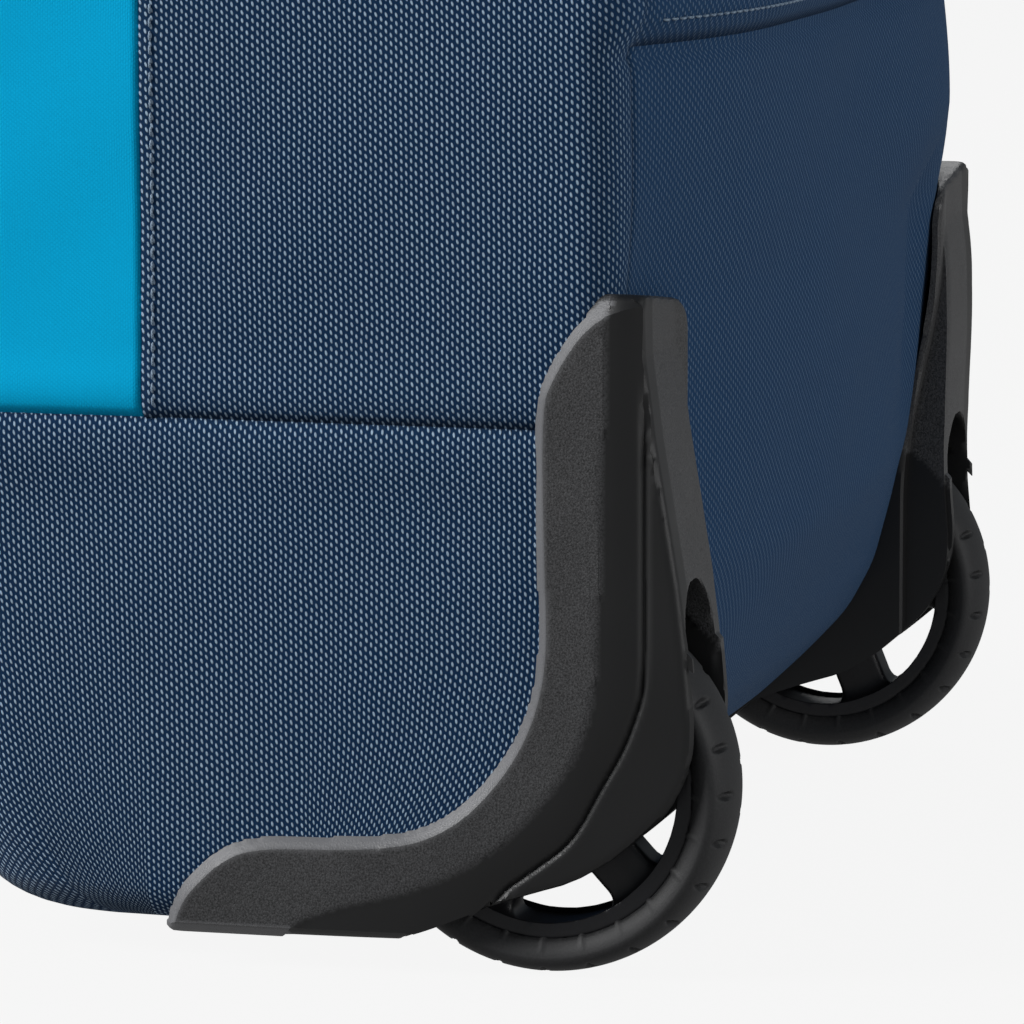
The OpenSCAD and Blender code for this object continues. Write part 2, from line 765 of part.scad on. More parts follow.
module outer_tubes() color(silver) tube(tube_w, tube_d, tube_z0, zip_z);
module middle_tubes() color(silver) tube(mid_w, mid_d, mid_z0, zip_z + bezel_floor + 2);
module inner_tubes() color(silver) difference() {
    tube(in_w, in_d, in_z0, grip_z + 8);
    both_sides() translate([tube_x, tube_y, pin_z]) bar_x(pin_bore_r, 0, tube_w);
}

// Blocks that hold the outer tubes to the back board
module tube_feet() color(black) difference() {
    both_sides() translate([tube_x, tube_y, tube_foot_z]) linear_extrude(foot_block)
        round_rect(tube_w + 8, tube_d + gap, 3);
    both_sides() translate([tube_x, tube_y, tube_z0]) linear_extrude(foot_block)
        round_rect(tube_w, tube_d, tube_d * 0.32);
}

// Guide collars on the middle tubes
module tube_collars() color(black) difference() {
    both_sides() translate([tube_x, tube_y, zip_z + bezel_floor + 2]) linear_extrude(collar_h)
        round_rect(tube_w, mid_d + 1.6, 3);
    both_sides() translate([tube_x, tube_y, zip_z]) linear_extrude(30)
        round_rect(in_w + 2 * slide_gap, in_d + 2 * slide_gap, in_d * 0.32 + slide_gap);
}

// Cup in the top of the bag that the grip sinks into
module handle_bezel() color(black) difference() {
    translate([0, tube_y, zip_z]) {
        linear_extrude(lid_h) round_rect(bezel_l, bezel_d, bezel_r);
        translate([0, 0, lid_h]) linear_extrude(lip_t)
            round_rect(bezel_l + 2 * lip, bezel_d + 2 * lip, bezel_r + lip);
    }
    translate([0, tube_y, zip_z + bezel_floor]) linear_extrude(lid_h)
        round_rect(bezel_l - 2 * bezel_wall, bezel_d - 2 * bezel_wall, 2 * bezel_gap);
    both_sides() translate([tube_x, tube_y, zip_z - 1]) linear_extrude(5)
        round_rect(mid_w + 2 * slide_gap, mid_d + 2 * slide_gap, mid_d * 0.32 + slide_gap);
}

// Grip: a lower body and a cap, hollow for the release yoke
socket_h = 8;
cap_z = lid_top - 6;
hollow_top = lid_top - 3.6;
yoke_h = 3.3;
yoke_top = hollow_top - slide_gap;
hollow_z = yoke_top - yoke_h - press - slide_gap;
hollow_l = 2 * (tube_x + 5);
button_l = 30;
button_d = 11;
hollow_d = button_d;
rod_r = 1.5;
rod_x = 2.6;                                  // rod's distance outward from the tube's centre

module grip_block(z0, z1) intersection() {
    translate([0, tube_y, grip_z + grip_h / 2]) slab(-grip_l / 2, grip_l / 2) round_rect(grip_d, grip_h, 6);
    between(z0, z1);
}

module grip_body() color(black) difference() {
    grip_block(grip_z, cap_z);
    both_sides() translate([tube_x, tube_y, grip_z - 1]) linear_extrude(socket_h + 1)
        round_rect(in_w, in_d, in_d * 0.32);
    translate([-hollow_l / 2, tube_y - hollow_d / 2, hollow_z]) cube([hollow_l, hollow_d, 20]);
    both_sides() translate([tube_x + rod_x, tube_y, grip_z]) cylinder(r = rod_r + slide_gap, h = 20, $fn = 32);
}

module grip_cap() color(black) difference() {
    grip_block(cap_z, lid_top);
    translate([-hollow_l / 2, tube_y - hollow_d / 2, cap_z - 1])
        cube([hollow_l, hollow_d, hollow_top - cap_z + 1]);
    translate([0, tube_y, cap_z - 1]) linear_extrude(20)
        round_rect(button_l + 2 * slide_gap, button_d + 2 * slide_gap, 4);
}

module release_yoke() color(black)
    translate([-hollow_l / 2 + slide_gap, tube_y - hollow_d / 2 + slide_gap, yoke_top - yoke_h])
        cube([hollow_l - 2 * slide_gap, hollow_d - 2 * slide_gap, yoke_h]);

module release_button() color(black)
    translate([0, tube_y, yoke_top]) linear_extrude(lid_top + 1.5 - yoke_top)
        round_rect(button_l, button_d - 2 * slide_gap, 3.5);

// Latch at the foot of each inner tube: a plug, a cross pin with a 45 degree window, and the rod's tip
pin_h = 5;
pin_w = 3.8;
pin_top = in_z0 + 9;
pin_z = pin_top - pin_h / 2;
pin_bore_r = 3.3;
plug_h = 16;
ramp_in = 0.6;
window_end = 7;
pin_s0 = -3.5;
pin_s1 = in_w / 2 - 0.2;
ramp_gap = 0.42;

module latch_plugs() color(black) both_sides() difference() {
    translate([tube_x, tube_y, in_z0]) linear_extrude(plug_h) round_rect(bore_w, bore_d, in_d * 0.32 - tube_t / 2);
    translate([tube_x - tube_w / 2, tube_y - pin_w / 2 - gap, pin_top - pin_h - gap])
        cube([tube_w, pin_w + 2 * gap, pin_h + 2 * gap]);
    translate([tube_x + rod_x, tube_y, in_z0 - 1]) cylinder(r = rod_r + slide_gap, h = plug_h + 2, $fn = 32);
}

// A block whose lower face falls outward at 45 degrees from the ramp line, lifted by up
module over_ramp(up) translate([0, 10, pin_top + up]) rotate([90, 0, 0]) linear_extrude(20)
    polygon([[ramp_in - 40, 40], [ramp_in + 40, -40], [ramp_in + 40, big], [ramp_in - 40, big]]);

module latch_pin() translate([tube_x, tube_y, 0]) difference() {
    translate([pin_s0, -pin_w / 2, pin_top - pin_h]) cube([pin_s1 - pin_s0, pin_w, pin_h]);
    intersection() {
        translate([ramp_in - 1, -1.2, 0]) cube([window_end - ramp_in + 1, 2.4, big]);
        over_ramp(0);
    }
}
module latch_pin_right() color(silver) latch_pin();
module latch_pin_left() color(silver) mirror([1, 0, 0]) latch_pin();

// Rods from the yoke down to the latches, with a thin wedge tip
tip_t = 1.8;
tip_w = 2 * rod_r - 0.5;
tip_low = 4;                                  // depth of the tip below the pin's top
rod_low = press + slide_gap;                  // height of the round rod above the pin's top
module push_rods() color(silver) both_sides() translate([tube_x, tube_y, 0]) intersection() {
    union() {
        translate([rod_x, 0, pin_top + rod_low])
            cylinder(r = rod_r, h = yoke_top - yoke_h - pin_top - rod_low, $fn = 32);
        translate([rod_x - rod_r, -tip_t / 2, pin_top - tip_low])
            cube([tip_w, tip_t, tip_low + rod_low + 0.5]);
    }
    over_ramp(ramp_gap);
}

outer_shell();
back_panel();
front_panel();
base_boot();
base_board();
back_board();
foam_floor();
foam_front();
foam_back();
foam_sides();
liner_tub();
front_pocket();
pocket_zip_tape();
pocket_zip_teeth();
pocket_slider();
pocket_pull();
lid_cover();
lid_foam();
lid_liner();
lid_zip_tape_upper();
lid_zip_teeth_upper();
lid_zip_tape_lower();
lid_zip_teeth_lower();
lid_slider_left();
lid_slider_right();
lid_pull_left();
lid_pull_right();
side_strap_left();
side_strap_right();
strap_wrap_left();
strap_wrap_right();
wheel_housing_left();
wheel_housing_right();
tyre_left();
tyre_right();
rim_left();
rim_right();
bearings_left();
bearings_right();
bearing_spacer_left();
bearing_spacer_right();
axle_left();
axle_right();
housing_screws();
front_feet();
foot_screws();
handle_bezel();
outer_tubes();
tube_feet();
middle_tubes();
tube_collars();
inner_tubes();
latch_plugs();
latch_pin_left();
latch_pin_right();
grip_body();
grip_cap();
release_button();
release_yoke();
push_rods();
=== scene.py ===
import math

import bpy
import numpy as np
from mathutils import Matrix, Vector
from mathutils.geometry import tessellate_polygon


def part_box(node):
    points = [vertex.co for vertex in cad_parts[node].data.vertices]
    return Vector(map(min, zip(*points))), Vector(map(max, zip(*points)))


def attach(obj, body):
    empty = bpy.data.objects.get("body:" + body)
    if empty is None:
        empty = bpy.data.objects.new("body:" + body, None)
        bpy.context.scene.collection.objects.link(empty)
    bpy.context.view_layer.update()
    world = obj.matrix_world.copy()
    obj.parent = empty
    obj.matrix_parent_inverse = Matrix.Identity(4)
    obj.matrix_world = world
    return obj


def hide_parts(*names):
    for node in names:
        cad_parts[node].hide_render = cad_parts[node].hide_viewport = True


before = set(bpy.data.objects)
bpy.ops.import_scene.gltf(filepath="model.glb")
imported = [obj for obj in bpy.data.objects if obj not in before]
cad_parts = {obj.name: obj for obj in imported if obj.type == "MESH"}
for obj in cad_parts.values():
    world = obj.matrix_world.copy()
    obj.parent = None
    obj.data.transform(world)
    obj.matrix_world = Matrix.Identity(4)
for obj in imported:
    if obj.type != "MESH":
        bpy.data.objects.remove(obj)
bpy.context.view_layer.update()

# ---------------------------------------------------------------- studio
# A pale sweep of floor, one large softbox that grazes the side wall from the front,
# and a softer one behind the bag. The camera looks down the side at the near wheel.
MM = 0.001


def box_mm(node):
    """Lowest and highest corner of a CAD node, in millimetres."""
    low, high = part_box(node)
    return np.array(low) / MM, np.array(high) / MM


def linear_colour(code):
    """Scene-linear RGBA of an sRGB hex colour."""
    parts = [int(code[i:i + 2], 16) / 255 for i in (1, 3, 5)]
    return [c / 12.92 if c <= 0.04045 else ((c + 0.055) / 1.055) ** 2.4 for c in parts] + [1.0]


def add_node(tree, kind, settings=None, **inputs):
    """Adds a node. Its inputs are values, or the sockets that feed them; _2 is the third input."""
    made = tree.nodes.new(kind)
    for name, value in (settings or {}).items():
        setattr(made, name, value)
    for name, value in inputs.items():
        key = int(name[1:]) if name[1:].isdigit() else name.replace("_", " ")
        if isinstance(value, bpy.types.NodeSocket):
            tree.links.new(value, made.inputs[key])
        else:
            made.inputs[key].default_value = value
    return made


tyre_low, tyre_high = box_mm("tyre_right")
axle = (tyre_low + tyre_high) / 2
wheel_r = (tyre_high[2] - tyre_low[2]) / 2

turn, tilt = math.radians(14.6), math.radians(8.27)
# How far the axle stands from the eye, in wheel radii
aim_across, aim_down, stand_off = 0.22, 1.42, 36.88
across = Vector((-math.sin(turn), math.cos(turn), 0))
down = Vector((math.sin(tilt) * math.cos(turn), math.sin(tilt) * math.sin(turn), -math.cos(tilt)))
ahead = Vector((-math.cos(tilt) * math.cos(turn), -math.cos(tilt) * math.sin(turn), -math.sin(tilt)))
eye = Vector(axle.tolist()) - float(wheel_r) * (aim_across * across + aim_down * down + stand_off * ahead)
camera = bpy.data.objects.new("camera", bpy.data.cameras.new("camera"))
camera.data.lens = 246.1
camera.data.sensor_width = 36
camera.data.clip_end = 100
camera.matrix_world = Matrix((across, -down, -ahead)).transposed().to_4x4()
camera.location = eye * MM
bpy.context.scene.collection.objects.link(camera)
bpy.context.scene.camera = camera
bpy.context.scene.view_settings.view_transform = "Standard"

# Matt paper: its glow lights the bag softly, and it looks nearly white itself
glow_on_bag, glow_seen = 0.30, 0.905
paper = bpy.data.materials.new("pale_paper_sweep")
paper.use_nodes = True
paper_shader = paper.node_tree.nodes["Principled BSDF"]
paper_shader.inputs["Base Color"].default_value = linear_colour("#202020")
paper_shader.inputs["Roughness"].default_value = 0.9
paper_shader.inputs["Specular IOR Level"].default_value = 0.0
paper_shader.inputs["Emission Color"].default_value = linear_colour("#ffffff")
lit = add_node(paper.node_tree, "ShaderNodeLightPath")
glow = add_node(paper.node_tree, "ShaderNodeMapRange", _0=lit.outputs["Is Camera Ray"],
                _3=glow_on_bag, _4=glow_seen)
paper.node_tree.links.new(glow.outputs[0], paper_shader.inputs["Emission Strength"])
floor_mesh = bpy.data.meshes.new("floor")
reach = 40.0
floor_mesh.from_pydata([(-reach, -reach, 0), (reach, -reach, 0), (reach, reach, 0), (-reach, reach, 0)],
                       [], [(0, 1, 2, 3)])
floor_mesh.materials.append(paper)
floor = bpy.data.objects.new("floor", floor_mesh)
bpy.context.scene.collection.objects.link(floor)

world = bpy.data.worlds.new("studio")
bpy.context.scene.world = world
world.use_nodes = True
sky = world.node_tree.nodes["Background"]
sky.inputs["Strength"].default_value = 1.0
seen = add_node(world.node_tree, "ShaderNodeLightPath")
tone = add_node(world.node_tree, "ShaderNodeMix", {"data_type": "RGBA"},
                _0=seen.outputs["Is Camera Ray"], _6=linear_colour("#70757a"),
                _7=linear_colour("#f6f6f6"))
world.node_tree.links.new(tone.outputs[2], sky.inputs["Color"])


def softbox(name, place, size, watts):
    """A square white area light that faces the middle of the bag."""
    lamp = bpy.data.lights.new(name, "AREA")
    lamp.size = size
    lamp.energy = watts
    obj = bpy.data.objects.new(name, lamp)
    obj.location = place
    obj.rotation_euler = (Vector((0.1, 0, 0.15)) - Vector(place)).to_track_quat("-Z", "Y").to_euler()
    bpy.context.scene.collection.objects.link(obj)


softbox("key_front", (1.15, -1.75, 1.35), 1.0, 76)
softbox("back_softbox", (0.5, 2.3, 0.9), 1.6, 27)
softbox("left_softbox", (-2.0, -0.8, 1.6), 1.6, 18)

# ---------------------------------------------------------------- fabric skin
# The bag's outer fabric: coarse ballistic nylon in navy and a finer nylon in blue,
# cut as separate panels and sewn together over closed-cell foam.
shell_high = box_mm("outer_shell")[1]
front_low, front_high = box_mm("front_panel")
back_high = box_mm("back_panel")[1]
boot_low, boot_high = box_mm("base_boot")
half_w = shell_high[0]
y_front, seam_y = front_low[1], front_high[1]
zip_z, lid_top, boot_z, fold_z = front_high[2], shell_high[2], boot_high[2], back_high[2]
ground = boot_low[2]
front_round, back_round, bottom_roll, fabric_t = 28.0, 12.0, 9.0, 1.6
y_back = axle[1] + 20.0
side_x = half_w - axle[0]
hinge_y = box_mm("foam_back")[1][1] - 8.0

# The bag's section by height: height, tuck of the front and its corners, shift of the back, swell
levels = np.array([
    [9.0, 22, -44.1, 0], [19.8, 14, -32, 0], [30.1, 9, -21.2, 0], [41.9, 5.5, -10.8, 2],
    [55.8, 3.5, -4, 4], [75.1, 1.8, -0.5, 10], [90, 1, 0, 16], [131, 0, 0, 20], [440, 0, 0, 20]])
fine_z = np.arange(-30.0, 480.0, 1.0)
toe_rise = levels[1, 0] - levels[0, 0]
kernel = np.hanning(15) / np.hanning(15).sum()
section_table = []
for k in (1, 2, 3):
    raw = np.interp(fine_z, levels[:, 0], levels[:, k])
    below = levels[0, k] + (levels[1, k] - levels[0, k]) * (fine_z - levels[0, 0]) / toe_rise
    section_table.append(np.convolve(np.where(fine_z < levels[0, 0], below, raw), kernel, "same"))


def section(z):
    """Tuck, shift and swell at a height, smoothed so that the sewn fabric has no kinks."""
    tuck, shift, swell = (np.interp(z, fine_z, column) for column in section_table)
    return tuck, shift, np.maximum(swell, 0)


def ramp(value, start, end):
    """Rises from 0 at start to 1 at end, whichever is the higher."""
    return np.clip((value - start) / (end - start), 0, 1)


def eased(t):
    """A ramp with soft ends."""
    return t * t * (3 - 2 * t)


def swell_power(z):
    """How square the back's swell is at a height: a plain curve low down, flatter above."""
    return np.interp(z, [160, 215], [2, 4.5])


def roll_in(z):
    """How far the wall has rolled under at a height near the bottom."""
    left = np.clip(bottom_roll - (z - ground), 0, bottom_roll)
    return bottom_roll - math.sqrt(bottom_roll ** 2 - left ** 2)


# Number of columns along each stretch of half the plan, from the front's middle to the back's
stretches = {"front": 44, "front_corner": 16, "blue_side": 14, "navy_side": 15, "by_wheel": 26,
             "back_corner": 10, "back": 62}


def half_plan(z):
    """Half of the bag's plan at a height, from the middle of the front to the middle of the back."""
    tuck, shift, swell = section(z)
    rolled = roll_in(z)
    w, wf = half_w - rolled, half_w - 0.15 * tuck - rolled
    f, b = y_front + tuck + rolled, y_back + shift - rolled
    by_wheel_y = axle[1] - wheel_r - 12
    n = stretches
    lines = []

    def run(x0, y0, x1, y1, count):
        """A straight stretch."""
        t = np.linspace(0, 1, count, endpoint=False)
        lines.append(np.c_[x0 + (x1 - x0) * t, y0 + (y1 - y0) * t])

    def bend(cx, cy, r, a0, a1, count):
        """A round corner about a centre, between two angles."""
        t = np.radians(np.linspace(a0, a1, count, endpoint=False))
        lines.append(np.c_[cx + r * np.cos(t), cy + r * np.sin(t)])

    run(0, f, wf - front_round, f, n["front"])
    bend(wf - front_round, f + front_round, front_round, -90, 0, n["front_corner"])
    y_a = f + front_round
    x_seam = wf + (w - wf) * (seam_y - y_a) / (by_wheel_y - y_a)
    run(wf, y_a, x_seam, seam_y, n["blue_side"])
    run(x_seam, seam_y, w, by_wheel_y, n["navy_side"])
    run(w, by_wheel_y, w, b - back_round, n["by_wheel"])
    bend(w - back_round, b - back_round, back_round, 0, 90, n["back_corner"])
    x = np.linspace(w - back_round, 0, n["back"] + 1)
    lines.append(np.c_[x, b + swell * (1 - np.abs(x / (w - back_round)) ** swell_power(z))])
    return np.vstack(lines)


toe_top = 34.0
z_rows = np.concatenate([
    ground + bottom_roll * (1 - np.cos(np.radians(np.arange(0, 90, 12)))),
    np.linspace(ground + bottom_roll, toe_top, 8), np.linspace(toe_top, boot_z, 40)[1:],
    np.linspace(boot_z, fold_z, 36)[1:], np.linspace(fold_z, zip_z, 56)[1:]])
half = np.stack([half_plan(z) for z in z_rows])
mirror_cols = half[:, -2:0:-1] * [-1, 1]
plan_xy = np.concatenate([half, mirror_cols], axis=1)
skin = np.dstack([plan_xy, np.repeat(z_rows[:, None], plan_xy.shape[1], 1)])
col_edges = np.cumsum([0] + list(stretches.values()))
col_of = dict(zip(stretches, zip(col_edges[:-1], col_edges[1:])))
top_ring = half[-1]
girth = np.r_[0, np.cumsum(np.hypot(*np.diff(top_ring, axis=0).T))]
full_girth = np.r_[girth, 2 * girth[-1] - girth[-2:0:-1]]
wall_steps = np.hypot(np.diff(z_rows), np.diff([section(z)[0] + roll_in(z) for z in z_rows]))
climb = np.r_[0, np.cumsum(wall_steps)] + ground


def outward(points):
    """Unit normals of a closed-round grid of points."""
    along = np.roll(points, -1, 1) - np.roll(points, 1, 1)
    up = np.gradient(points, axis=0)
    n = np.cross(along, up)
    return n / np.linalg.norm(n, axis=2, keepdims=True)


def bump_at(value, centre, width):
    """A smooth ridge of height 1 round a value."""
    return np.exp(-((value - centre) / width) ** 2)


normal = outward(skin)
X, Y, Z = skin[..., 0], skin[..., 1], skin[..., 2]
round_back = (np.minimum(full_girth, 2 * girth[-1] - full_girth) - girth[col_of["back_corner"][0]]) / 26
on_back = eased(np.clip(round_back, 0, 1))[None, :] + 0 * Z
near_guard = ramp(np.abs(np.abs(X) - axle[0] + 4), 60, 0) * ramp(Z, 90, 130) * ramp(Z, 200, 140)
# Soft puckers over the whole cloth, a dip above each guard, the boot seam and the fold on the back
swing = full_girth[None, :] + 0 * Z
soft = (0.55 * np.sin(swing / 31 + Z / 47) * np.sin(Z / 38 - swing / 90)
        + 0.35 * np.sin(swing / 13 - Z / 21) * np.sin(Z / 17 + 1.3))
soft *= ramp(Z, ground + 20, ground + 80)
lift = soft - 3.2 * on_back * eased(near_guard)
lift += (1 - on_back) * (-1.5 * bump_at(Z, boot_z, 1.8) + 0.7 * bump_at(Z, boot_z + 7, 5)
                         + 0.9 * bump_at(Z, boot_z - 9, 7))
lift += on_back * (4.2 * bump_at(Z, fold_z + 9, 7.5) * (Z >= fold_z) - 2.2 * bump_at(Z, fold_z - 1, 3)
                   + 2.6 * bump_at(Z, fold_z + 24, 16) * (Z >= fold_z))
skin = skin + normal * lift[..., None]


lean_most = 9.5


def lean_back(x, z):
    """The soft bag leans: its left side stands further back, at the guard low down, then all over."""
    up = ramp(z, 72, 144) * (1 - 0.75 * ramp(z, 165, 225)) * ramp(z, 330, 240)
    above = ramp(z, 150, 185)
    over = ramp(-x, 112, 142) * (1 - above) + ramp(x / half_w, 0.25, -0.75) * above
    return lean_most * eased(up) * eased(over)


skin[..., 1] += lean_back(skin[..., 0], skin[..., 2]) * ramp(Y, -40, 50)
normal = outward(skin)


def new_piece(name, verts, faces, material, sharp=None):
    """A mesh object from points in millimetres, smooth, with edges sharper than an angle kept."""
    mesh = bpy.data.meshes.new(name)
    mesh.from_pydata((np.asarray(verts, float) * MM).tolist(), [], [list(map(int, f)) for f in faces])
    mesh.materials.append(material)
    mesh.shade_smooth()
    if sharp:
        mesh.set_sharp_from_angle(angle=math.radians(sharp))
    obj = bpy.data.objects.new(name, mesh)
    bpy.context.scene.collection.objects.link(obj)
    return obj


def mark(obj, name, values):
    """Stores one number at each point, for a material to read."""
    layer = obj.data.attributes.new(name, "FLOAT", "POINT")
    layer.data.foreach_set("value", np.asarray(values, np.float32))


def apply_modifiers(obj):
    """Bakes an object's modifiers into its mesh."""
    graph = bpy.context.evaluated_depsgraph_get()
    graph.update()
    mesh = bpy.data.meshes.new_from_object(obj.evaluated_get(graph))
    obj.modifiers.clear()
    obj.data = mesh


def thicken(obj, thickness):
    """Gives a sheet its real thickness, inward, with closed rims."""
    mod = obj.modifiers.new("thickness", "SOLIDIFY")
    mod.thickness = thickness * MM
    mod.offset = -1
    apply_modifiers(obj)


def grid_faces(rows, cols, closed=False):
    """Quads of a grid of points, optionally joined round."""
    out = []
    for r in range(rows - 1):
        for c in range(cols if closed else cols - 1):
            d = (c + 1) % cols
            out.append((r * cols + c, r * cols + d, (r + 1) * cols + d, (r + 1) * cols + c))
    return out


# How far the back, turned from the key light, is painted one even tone as shade in place of the floats'
# painted highlight
unlit_back_share = 0.75


def panel(name, wanted, material, raise_by=0):
    """Cuts one sewn panel out of the skin: wanted(row, column) is true for its faces."""
    rows, cols = skin.shape[:2]
    r, c = np.meshgrid(np.arange(rows - 1), np.arange(cols), indexing="ij")
    keep = wanted(r, np.minimum(c, cols - 1 - c))
    r, c = r[keep], c[keep]
    d = (c + 1) % cols
    quads = np.c_[r * cols + c, r * cols + d, (r + 1) * cols + d, (r + 1) * cols + c]
    points = skin + normal * raise_by
    used, flat = np.unique(quads, return_inverse=True)
    places = points.reshape(-1, 3)[used]
    uv = np.c_[np.tile(full_girth, rows)[used], np.repeat(climb, cols)[used]]
    seam_span = 2 * girth[-1]
    quads = flat.reshape(-1, 4)
    obj = new_piece(name, places, quads, material)
    layer = obj.data.uv_layers.new(name="cloth")
    corner_uv = uv[quads]
    u = corner_uv[..., 0]
    wraps = (u.max(1) - u.min(1)) > seam_span / 2
    u[wraps] = np.where(u[wraps] < seam_span / 2, u[wraps] + seam_span, u[wraps])
    layer.data.foreach_set("uv", corner_uv.ravel())
    # The back is marked for the even tone of painted shade
    mark(obj, "unlit_weave", (unlit_back_share * on_back).ravel()[used])
    return obj


def principled(name, colour, roughness, ior=1.5):
    """A material with its shader's own sockets set, and its node tree."""
    mat = bpy.data.materials.new(name)
    mat.use_nodes = True
    shader = mat.node_tree.nodes["Principled BSDF"]
    shader.inputs["Base Color"].default_value = linear_colour(colour)
    shader.inputs["Roughness"].default_value = roughness
    shader.inputs["IOR"].default_value = ior
    return mat, mat.node_tree, shader


def woven_nylon(name, ground_colour, float_highlight_colour, unlit_back_colour, pitch_u, pitch_v, float_w, float_h,
                depth, sheen):
    """Ballistic nylon 6.6, basket woven: raised floats in staggered columns over a dark ground, so the eye
    sees short tilted dashes. The floats' pale colour is a painted highlight, and marked faces get one even
    tone as painted shade."""
    mat, tree, shader = principled(name, ground_colour, 0.85, 1.53)
    coord = add_node(tree, "ShaderNodeTexCoord")
    drift = add_node(tree, "ShaderNodeTexNoise", _0=coord.outputs["UV"], Scale=0.11, Detail=2.0)
    sway = add_node(tree, "ShaderNodeVectorMath", {"operation": "MULTIPLY_ADD"},
                    _0=drift.outputs["Color"], _1=(0.9, 0.9, 0), _2=coord.outputs["UV"])
    split = add_node(tree, "ShaderNodeSeparateXYZ", _0=sway.outputs[0])

    def math_node(kind, a, b=0.0, c=0.0):
        return add_node(tree, "ShaderNodeMath", {"operation": kind}, _0=a, _1=b, _2=c).outputs[0]

    column = math_node("DIVIDE", split.outputs["X"], pitch_u)
    odd = math_node("MODULO", math_node("FLOOR", column), 2.0)
    row = math_node("MULTIPLY_ADD", odd, 0.5, math_node("DIVIDE", split.outputs["Y"], pitch_v))
    in_u = math_node("SUBTRACT", math_node("FRACT", column), 0.5)
    in_v = math_node("SUBTRACT", math_node("FRACT", row), 0.5)
    lean = math_node("MULTIPLY_ADD", in_v, 0.34, in_u)
    far_u = math_node("POWER", math_node("MULTIPLY", lean, 2 * pitch_u / float_w), 2.0)
    far_v = math_node("POWER", math_node("MULTIPLY", in_v, 2 * pitch_v / float_h), 2.0)
    reach_out = math_node("ADD", far_u, far_v)
    top = add_node(tree, "ShaderNodeMapRange", {"interpolation_type": "SMOOTHSTEP"},
                   _0=reach_out, _1=1.7, _2=0.35, _3=0.0, _4=1.0).outputs[0]
    fleck = add_node(tree, "ShaderNodeTexNoise", _0=coord.outputs["UV"], Scale=0.9, Detail=3.0)
    shade = add_node(tree, "ShaderNodeMapRange", _0=fleck.outputs[0], _1=0.3, _2=0.7,
                     _3=0.72, _4=1.15).outputs[0]
    cover = math_node("MULTIPLY", top, shade)
    # The floats' pale colour is a painted highlight over the dark ground
    mix = add_node(tree, "ShaderNodeMix", {"data_type": "RGBA"}, _0=cover,
                   _6=linear_colour(ground_colour), _7=linear_colour(float_highlight_colour))
    # Where a point is marked, the weave gives way to one even tone: painted shade on faces turned from the
    # light, without the floats' painted highlight
    plain = add_node(tree, "ShaderNodeAttribute", {"attribute_name": "unlit_weave"})
    even = add_node(tree, "ShaderNodeMix", {"data_type": "RGBA"}, _0=plain.outputs["Fac"],
                    _6=mix.outputs[2], _7=linear_colour(unlit_back_colour))
    tree.links.new(even.outputs[2], shader.inputs["Base Color"])
    thread = add_node(tree, "ShaderNodeTexWave", {"wave_type": "BANDS", "bands_direction": "X"},
                      _0=coord.outputs["UV"], Scale=2.4, Distortion=1.5)
    height = math_node("MULTIPLY_ADD", thread.outputs[1], 0.15, top)
    relief = add_node(tree, "ShaderNodeBump", Distance=depth * MM, Strength=1.0, Height=height)
    tree.links.new(relief.outputs[0], shader.inputs["Normal"])
    shader.inputs["Sheen Weight"].default_value = sheen
    shader.inputs["Sheen Roughness"].default_value = 0.4
    shader.inputs["Specular IOR Level"].default_value = 0.06
    return mat


# Coarse navy cloth: float columns 1.24 mm apart, floats 1.94 mm apart along a column; the floats' pale
# # colour is a painted highlight, so it looks speckled. The blue cloth is half as coarse and nearly one
# colour, so it looks plain.
navy = woven_nylon("ballistic_nylon_navy", "#102b49", "#9bb1c6", "#26466a", pitch_u=1.24, pitch_v=1.94,
                   float_w=0.56, float_h=1.15, depth=0.28, sheen=0.03)
blue = woven_nylon("nylon_twill_blue", "#009fce", "#00a5d6", "#00a1d2", pitch_u=0.62, pitch_v=1.0,
                   float_w=0.4, float_h=0.7, depth=0.05, sheen=0.0)

c_front = col_of["blue_side"][1]
c_corner = col_of["back_corner"][1]
r_boot = int(np.argmin(np.abs(z_rows - boot_z)))
r_fold = int(np.argmin(np.abs(z_rows - fold_z)))

# The navy side laps over the blue front by a folded edge that stands a little proud
edge_dist = np.minimum(full_girth, 2 * girth[-1] - full_girth) - girth[c_front]
lap = 0.7 * bump_at(edge_dist, 0, 2.6)
navy_sides = panel("side_walls", lambda r, c: (r >= r_boot) & (c >= c_front)
                   & ((c < c_corner) | (r >= r_fold)), navy, lap[None, :, None])
blue_front = panel("front_wall", lambda r, c: (r >= r_boot) & (c < c_front), blue)
back_wall = panel("lower_back", lambda r, c: (r < r_fold) & (c >= c_corner), navy)
boot = panel("base_boot_fabric", lambda r, c: (r < r_boot) & (c < c_corner), navy)


def cut_away(obj, cutters):
    """Cuts solid shapes out of a piece."""
    for cutter in cutters:
        mod = obj.modifiers.new("cut", "BOOLEAN")
        mod.operation = "DIFFERENCE"
        mod.solver = "EXACT"
        mod.object = cutter
    apply_modifiers(obj)


# Each wheel's well is cut clean through the cloth, a little larger than its moulded lining
well_r, well_in_x, well_out_x = 50.2, -17.5, 15.6
wheel_wells = []
for side in (-1, 1):
    steps = np.radians(np.arange(0, 360, 3))
    disc = np.c_[axle[1] + well_r * np.cos(steps), axle[2] + well_r * np.sin(steps)]
    inner = np.c_[np.full(len(disc), side * (axle[0] + well_in_x)), disc]
    outer = np.c_[np.full(len(disc), side * (axle[0] + well_out_x)), disc]
    n = len(disc)
    faces = [(k, (k + 1) % n, n + (k + 1) % n, n + k) for k in range(n)]
    faces += [tuple(range(n - 1, -1, -1)), tuple(range(n, 2 * n))]
    if side < 0:
        faces = [f[::-1] for f in faces]
    wheel_wells.append(new_piece(f"well_cutter_{side}", np.vstack([inner, outer]), faces, navy))

